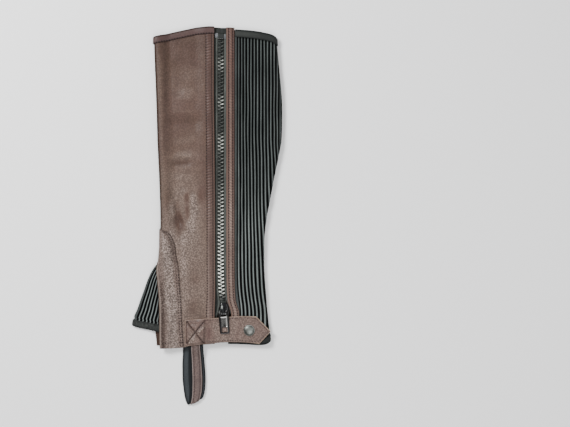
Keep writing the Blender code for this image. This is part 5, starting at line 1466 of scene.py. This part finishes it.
def makeStrap():
    # plate over box and snap: pointed end, sewn rows, crossed box with cushions between its seams
    outline = np.array(strapOutline)
    first, last, tipFrom = outline[0, 0], outline[-1, 0], 47.3
    corners = [tipFrom, 51.6, -47, -46.7]
    across = np.unique(np.concatenate([np.linspace(first, last, 150), corners]))
    part = np.concatenate([[0, 0.012, 0.03], np.linspace(0.06, 0.94, 44), [0.97, 0.988, 1]])
    low, high = strapSides(across[:, None])
    x, y = np.broadcast_arrays(across[:, None], mix(low, high, part[None]))
    level = strapLevel(x, y)
    fromEdge = np.minimum(y - low, high - y) * np.where(x > tipFrom, strapSet["tipSlant"], 1)
    fromEdge = np.minimum(fromEdge, np.minimum(x - first, last + 0.2 - x))
    left, right, foot, head = strapSet["box"]
    acrossPart, upPart = (x - left) / (right - left), (y - foot) / (head - foot)
    inBox = between(acrossPart, -0.08, 0.02, 0.98, 1.08) * between(upPart, -0.05, 0.02, 0.98, 1.05)
    cross = np.minimum(np.abs(acrossPart - upPart), np.abs(acrossPart + upPart - 1))
    cross = cross * (right - left) * (head - foot) / math.hypot(right - left, head - foot)
    border = np.minimum(np.abs(x - right), np.abs(x - left)) + 5 * (1 - inBox)
    sewn = np.maximum(bell(cross, 0, 1.15), bell(border, 0, 0.9)) * inBox
    seam, rim = bell(x, -20.7, 0.8), bell(fromEdge, strapSet["rowInset"], 0.5)
    puff = 0.85 * arch(np.clip(cross / 9, 0, 1) / 2) * inBox
    rough = 0.08 * hashNoise(x / 4, y / 4, 31) + 0.05 * hashNoise(x / 1.8, y / 1.8, 33)
    wrinkle = 0.22 * hashNoise(x / 9 + y / 16, y / 7, 35) * between(x, -22, -8, 20, 34)
    thick = shared["leather"] * (0.62 + 0.38 * smoothStep(fromEdge, 0, 0.9))
    thick = thick - 0.7 * sewn - 0.3 * seam - 0.22 * rim + puff + rough + wrinkle
    thick = np.maximum(thick, 0.6)
    # painted shade in the seams, sewn rows and box; then painted sheen in a spot and along lines
    paintedShade = np.clip(0.8 * sewn + 0.4 * rim + 0.6 * seam + 0.04 * inBox, 0, 1)
    bare = mix(0.22 + 0.1 * smoothStep(y, low + 4, low + 12), 1, smoothStep(x, 34, 50))
    raw = smoothStep(fromEdge, 0.75, 0.15) * bare
    lift = 0.3 * bell(x, -38.5, 4) * bell(y, 11, 6) - 0.02 * inBox + creaseRise(x, y, strapSheenLines)
    item = shell("ankleStrap", stack(x, y, level), stack(x, y, level + thick), strapHide,
                 {"paintedShade": paintedShade, "rawEdge": raw, "extraPaintedSheen": lift}, sharp=60)
    finishPiece(item, ["closing_strap"])
    print("strap made")


# Foot loop -----------------------------------------------------------------------------------

loopSet = {"thick": 1.2, "width": 20.5, "stripWidth": 12.4,
           # rows of loopTable and parts of the width that the strip covers
           "stripFirst": 2, "stripLast": 12, "stripLeft": 0.195, "stripRight": 0.785}
# height, middle level, left edge, right edge, slant
loopTable = [
    (24, 6.75, -42.9, -23.5, 0), (14, 6.75, -42.8, -23.5, 0), (5, 6.75, -42.7, -23.4, 0),
    (-1.5, 6.6, -42.7, -23.2, 0), (-7, 5.2, -42.6, -22.9, 0), (-13, 3.2, -42.4, -22.4, 0),
    (-19, 2.3, -42.2, -21.9, 0), (-32, 2.2, -41.9, -20.9, 0), (-45, 2.2, -41.5, -20.2, 0.3),
    (-58, 2.2, -41.6, -20.7, 1.4), (-67, 2.2, -42.2, -22, 3), (-72.6, 2.1, -43.3, -23.6, 4.1),
    (-74.3, 1.4, -44, -24.6, 4.4), (-72.8, 0.7, -45.4, -25.6, 4.2), (-67, 0.6, -47.9, -27.8, 3),
    (-56, 0.6, -49.9, -29.6, 1.2), (-42, 0.6, -51.3, -30.8, 0.3), (-26, 0.6, -51.5, -31, 0),
    (-12, 0.6, -50.8, -30.6, 0), (-4.5, 0.8, -50.4, -30.4, 0), (2.2, 2.7, -50.2, -30.2, 0),
    (9, 2.75, -50, -30, 0), (16, 2.75, -49.8, -29.8, 0)]


def loopSurface(rowAt, part):
    # middle surface and outward directions at row numbers and parts of the width
    table = np.column_stack([np.arange(len(loopTable)), np.array(loopTable)])
    height, level, left, right, slant = (curveThrough(table, k, rowAt)[:, None]
                                         for k in range(1, 6))
    runY, runZ = (curveThrough(table, k, rowAt + 0.05) - curveThrough(table, k, rowAt - 0.05)
                  for k in (1, 2))
    outward = unit(stack(0, runZ, -runY))[:, None, :]
    x = mix(left, right, part[None])
    y = height + slant * (2 * part[None] - 1)
    return stack(x, y, level), np.broadcast_to(outward, x.shape + (3,))


def makeLoop():
    # the folded loop, rows numbered as in loopTable, then the strip that is sewn on its front
    rowAt = steps(0, (11, 90), (14, 26), (22, 60))
    part = np.concatenate([[0, 0.02], np.linspace(0.05, 0.95, 34), [0.98, 1]])
    middle, outward = loopSurface(rowAt, part)
    half = loopSet["thick"] / 2
    edge = np.minimum(part, 1 - part) * loopSet["width"]
    soft = half * (0.55 + 0.45 * smoothStep(edge, 0, 0.8))
    outer = middle + (soft + 0.1 * bell(edge, 1, 0.6))[None, :, None] * outward
    inner = middle - soft[None, :, None] * outward
    # painted light in a band on the back strand, with its ribs; a lighter line in the front's
    # margin
    lit = (0.3 + 0.55 * between(part, 0.1, 0.16, 0.34, 0.4)) * (0.86 + 0.14 * np.cos(part * 52))
    crest = np.where((rowAt > 12)[:, None], lit, 0.02 + 0.6 * bell(part, 0.895, 0.022))
    uv = stack(part[None] * loopSet["width"], runLength(middle[:, 0])[:, None]) * 0.001
    item = shell("footLoop", inner, outer, loopKnit, {"crest": crest}, uv)
    finishPiece(item, ["foot_loop"])
    part = np.linspace(loopSet["stripLeft"], loopSet["stripRight"], 30)
    middle, outward = loopSurface(np.linspace(loopSet["stripFirst"], loopSet["stripLast"], 110),
                                  part)
    edge = np.minimum(parts(30), 1 - parts(30)) * loopSet["stripWidth"]
    sewn = bell(edge, 2.6, 0.45)
    thick = shared["strip"] * (0.5 + 0.5 * smoothStep(edge, 0, 0.8))
    thick = thick + 0.25 * smoothStep(edge, 2.8, 5) - 0.22 * sewn
    thick = thick + 0.06 * hashNoise(middle[..., 0] / 3, middle[..., 1] / 4, 41)
    base = middle + (half + shared["gap"]) * outward
    # painted shade along the strip's sewn rows
    item = shell("loopStrip", base, base + thick[..., None] * outward, stripHide,
                 {"paintedShade": 0.6 * sewn, "rawEdge": 0.8 * smoothStep(edge, 0.9, 0.3)})
    finishPiece(item, ["loop_strip"])
    print("foot loop made")


# Stitches ------------------------------------------------------------------------------------

stitchSet = {"pitch": 3.6, "length": 2, "radius": 0.72, "strapPitch": 3.3,
             "strapRadius": 0.42}


def alongLine(points, normals, pitch):
    # places every pitch along a line of points, with the line's direction and normal there
    length = runLength(points)
    at = np.arange(0.5 * pitch, length[-1] - 0.3 * pitch, pitch)

    def sampled(places, values):
        return np.stack([np.interp(places, length, values[:, k]) for k in range(3)], axis=1)

    along = unit(sampled(at + 0.3, points) - sampled(at - 0.3, points))
    return sampled(at, points), along, unit(sampled(at, normals))


def makeThread(name, lines, pitch, length, radius):
    # each stitch: a bead of six sides, swelling and sinking at both ends into the hide
    runs = [alongLine(points, normals, pitch) for points, normals in lines]
    place, along, normal = (np.concatenate([run[k] for run in runs])[:, None, None]
                            for k in range(3))
    side, ring = unit(np.cross(along, normal)), turns(6)
    station, size, sink = (np.array(row)[None, :, None, None] for row in (
        [-0.5 * length, -0.36 * length, 0, 0.36 * length, 0.5 * length],
        [0.12 * radius, 0.8 * radius, radius, 0.8 * radius, 0.12 * radius],
        [-1.2 * radius, -0.1 * radius, 0.25 * radius, -0.1 * radius, -1.2 * radius]))
    points = (place + station * along + sink * normal
              + size * np.cos(ring)[:, None] * side + 0.8 * size * np.sin(ring)[:, None] * normal)
    caps = np.array([[3, 2, 1, 0], [5, 4, 3, 0], [24, 25, 26, 27], [24, 27, 28, 29]])
    quads = np.concatenate([gridQuads(numbered((5, 6), True)), caps])
    faces = (quads[None] + (np.arange(len(place)) * 30)[:, None, None]).reshape(-1, 4)
    finishPiece(meshFrom(name, points, faces, thread, sharp=180))
    return len(place)


def makeStitches(front, back):
    # rows along facings, patch, top binding and hem, then those of the strap and the loop's strip
    lift = shared["gap"] + shared["strip"] - 0.1
    lines = []
    for (grid, out), rows in ((front, facingSet["rowsFront"]), (back, facingSet["rowsBack"])):
        for column in (int(round(row * (grid.shape[1] - 1))) for row in rows):
            lines.append((grid[:, column] + lift * out[:, column], out[:, column]))
    plate = patchSet["gap"] + patchSet["thick"]
    shares, width, arc, right, left = patchRuns(np.linspace(-2, 96, 70))
    for inset in patchSet["rowOffsets"]:
        runs = np.minimum(right + inset, left - 1)
        _, outer, out = leatherSurface(runPlaces(runs, width, arc), shares)
        lines.append((outer[:, 0] + (plate - 0.35) * out[:, 0], out[:, 0]))
    _, edge, out = leatherSurface(steps(0, (1, 80), (2, 12)), [mix(leatherEdge, 1, 0.14)])
    lines.append((edge[0] + (shared["gap"] + 0.98) * out[0], out[0]))
    _, hem, out = leatherSurface(np.linspace(0.5, 1.75, 60), [0.017])
    overPatch = hem[0][:, 0] < curveThrough(patchEdge, 1, 4)
    for part, lift in ((overPatch, plate), (~overPatch, 0.05)):
        lines.append((hem[0][part] + lift * out[0][part], out[0][part]))
    count = makeThread("darkStitches", lines, stitchSet["pitch"], stitchSet["length"],
                       stitchSet["radius"])
    lines = strapStitches()
    rowAt = np.linspace(loopSet["stripFirst"] + 0.3, loopSet["stripLast"] - 0.4, 90)
    lift = loopSet["thick"] / 2 + shared["gap"] + shared["strip"] - 0.15
    for share in (0.21, 0.79):
        part = mix(loopSet["stripLeft"], loopSet["stripRight"], share)
        middle, out = loopSurface(rowAt, np.array([part]))
        lines.append((middle[:, 0] + lift * out[:, 0], out[:, 0]))
    count += makeThread("strapStitches", lines, stitchSet["strapPitch"], stitchSet["length"],
                        stitchSet["strapRadius"])
    print("stitches made,", count)


def strapLine(xs, ys, sink=0.22):
    # line on the strap's face at level + thickness - sink, with upward normals
    z = strapLevel(xs, ys) + shared["leather"] - sink
    return stack(xs, ys, z), np.broadcast_to(np.array([0, 0, 1]), (len(xs), 3))


def strapStitches():
    # both long sides, the pointed end, and the box with its crossed diagonals
    inset, xs = strapSet["rowInset"], np.linspace(-18.5, 48, 120)
    low, high = strapSides(xs)
    tipX, tipY = [48, 62.8, 62.8, 50.5, 48], [36, 21, 18.6, 6.4, 6.2]
    at = np.linspace(0, 4, 80)
    lines = [strapLine(xs, high - inset), strapLine(xs, low + inset),
             strapLine(np.interp(at, range(5), tipX), np.interp(at, range(5), tipY))]
    left, right, foot, head = strapSet["box"]
    share = parts(60)
    for x0, y0, x1, y1 in ((left, foot, right, head), (left, head, right, foot),
                           (right, foot, right, head), (left, foot, left, head),
                           (left, head, right, head), (left, foot, right, foot)):
        lines.append(strapLine(mix(x0, x1, share), mix(y0, y1, share), 0.45))
    return lines


# Stage ---------------------------------------------------------------------------------------

stageSet = {
    "floor": (0.93, 0.932, 0.935),
    "height": 1.5,  # of the camera, in metres like all of the stage
    "frameWidth": 0.7581,  # of floor that the picture shows
    "aim": (0.10387, 0.00335),
    "world": 0.5,
    # name, place, side and power; each is turned to the middle
    "lights": [("keyLight", (-0.9, 0.85, 1.15), 0.6, 47),
               ("sheenLight", (0.25, -0.85, 1.35), 0.8, 13),
               ("fillLight", (1.2, 0.2, 1.2), 0.8, 5)],
}


def makeStage():
    # pale floor, three square lamps turned to the middle, soft world and the photo's camera
    bpy.ops.mesh.primitive_plane_add(size=8, location=(0, 0, -0.0003))
    floor = bpy.context.active_object
    floor.name = "paleFloor"
    material, tree = newMaterial("palePaper", Roughness=0.9)
    base = stageSet["floor"]
    feed(tree, "Base Color", blend(tree, noise(tree, 3, 2), tuple(0.99 * k for k in base), base))
    floor.data.materials.append(material)
    link = bpy.context.scene.collection.objects.link
    for name, place, size, power in stageSet["lights"]:
        data = bpy.data.lights.new(name, "AREA")
        data.shape, data.size, data.energy = "SQUARE", size, power
        item = bpy.data.objects.new(name, data)
        x, y, z = item.location = place
        item.rotation_euler = (math.atan2(math.hypot(x, y), z), 0, math.atan2(y, x) + math.pi / 2)
        link(item)
    world = bpy.data.worlds.new("softWorld")
    world.use_nodes = True
    glow = world.node_tree.nodes["Background"].inputs
    glow["Color"].default_value, glow["Strength"].default_value = (1, 1, 1, 1), stageSet["world"]
    bpy.context.scene.world = world
    data = bpy.data.cameras.new("photoCamera")
    data.lens = 36 * stageSet["height"] / stageSet["frameWidth"]
    data.clip_start, data.clip_end = 0.05, 20
    camera = bpy.data.objects.new("photoCamera", data)
    camera.location = (*stageSet["aim"], stageSet["height"] + 0.005)
    link(camera)
    bpy.context.scene.camera = camera
    print("stage set")


def dressNode(name, material):  # a CAD object that stays in view gets a scene material
    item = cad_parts[name]
    item = item if isinstance(item, bpy.types.Object) else bpy.data.objects[name]
    item.data.materials.clear()
    item.data.materials.append(material)


makeStage()
makeLeatherTube()
makeElasticTube()
makeBindings()
frontPart, backPart = facingParts()
makeFacings(frontPart, backPart)
makeTapes()
makeTopFilms()
makeTeeth()
makeSlider()
makePullTab()
makeSnap()
makePatch()
makeGusset()
makeStrap()
makeLoop()
makeStitches(frontPart, backPart)
dressNode("zip_box", toothPlastic)
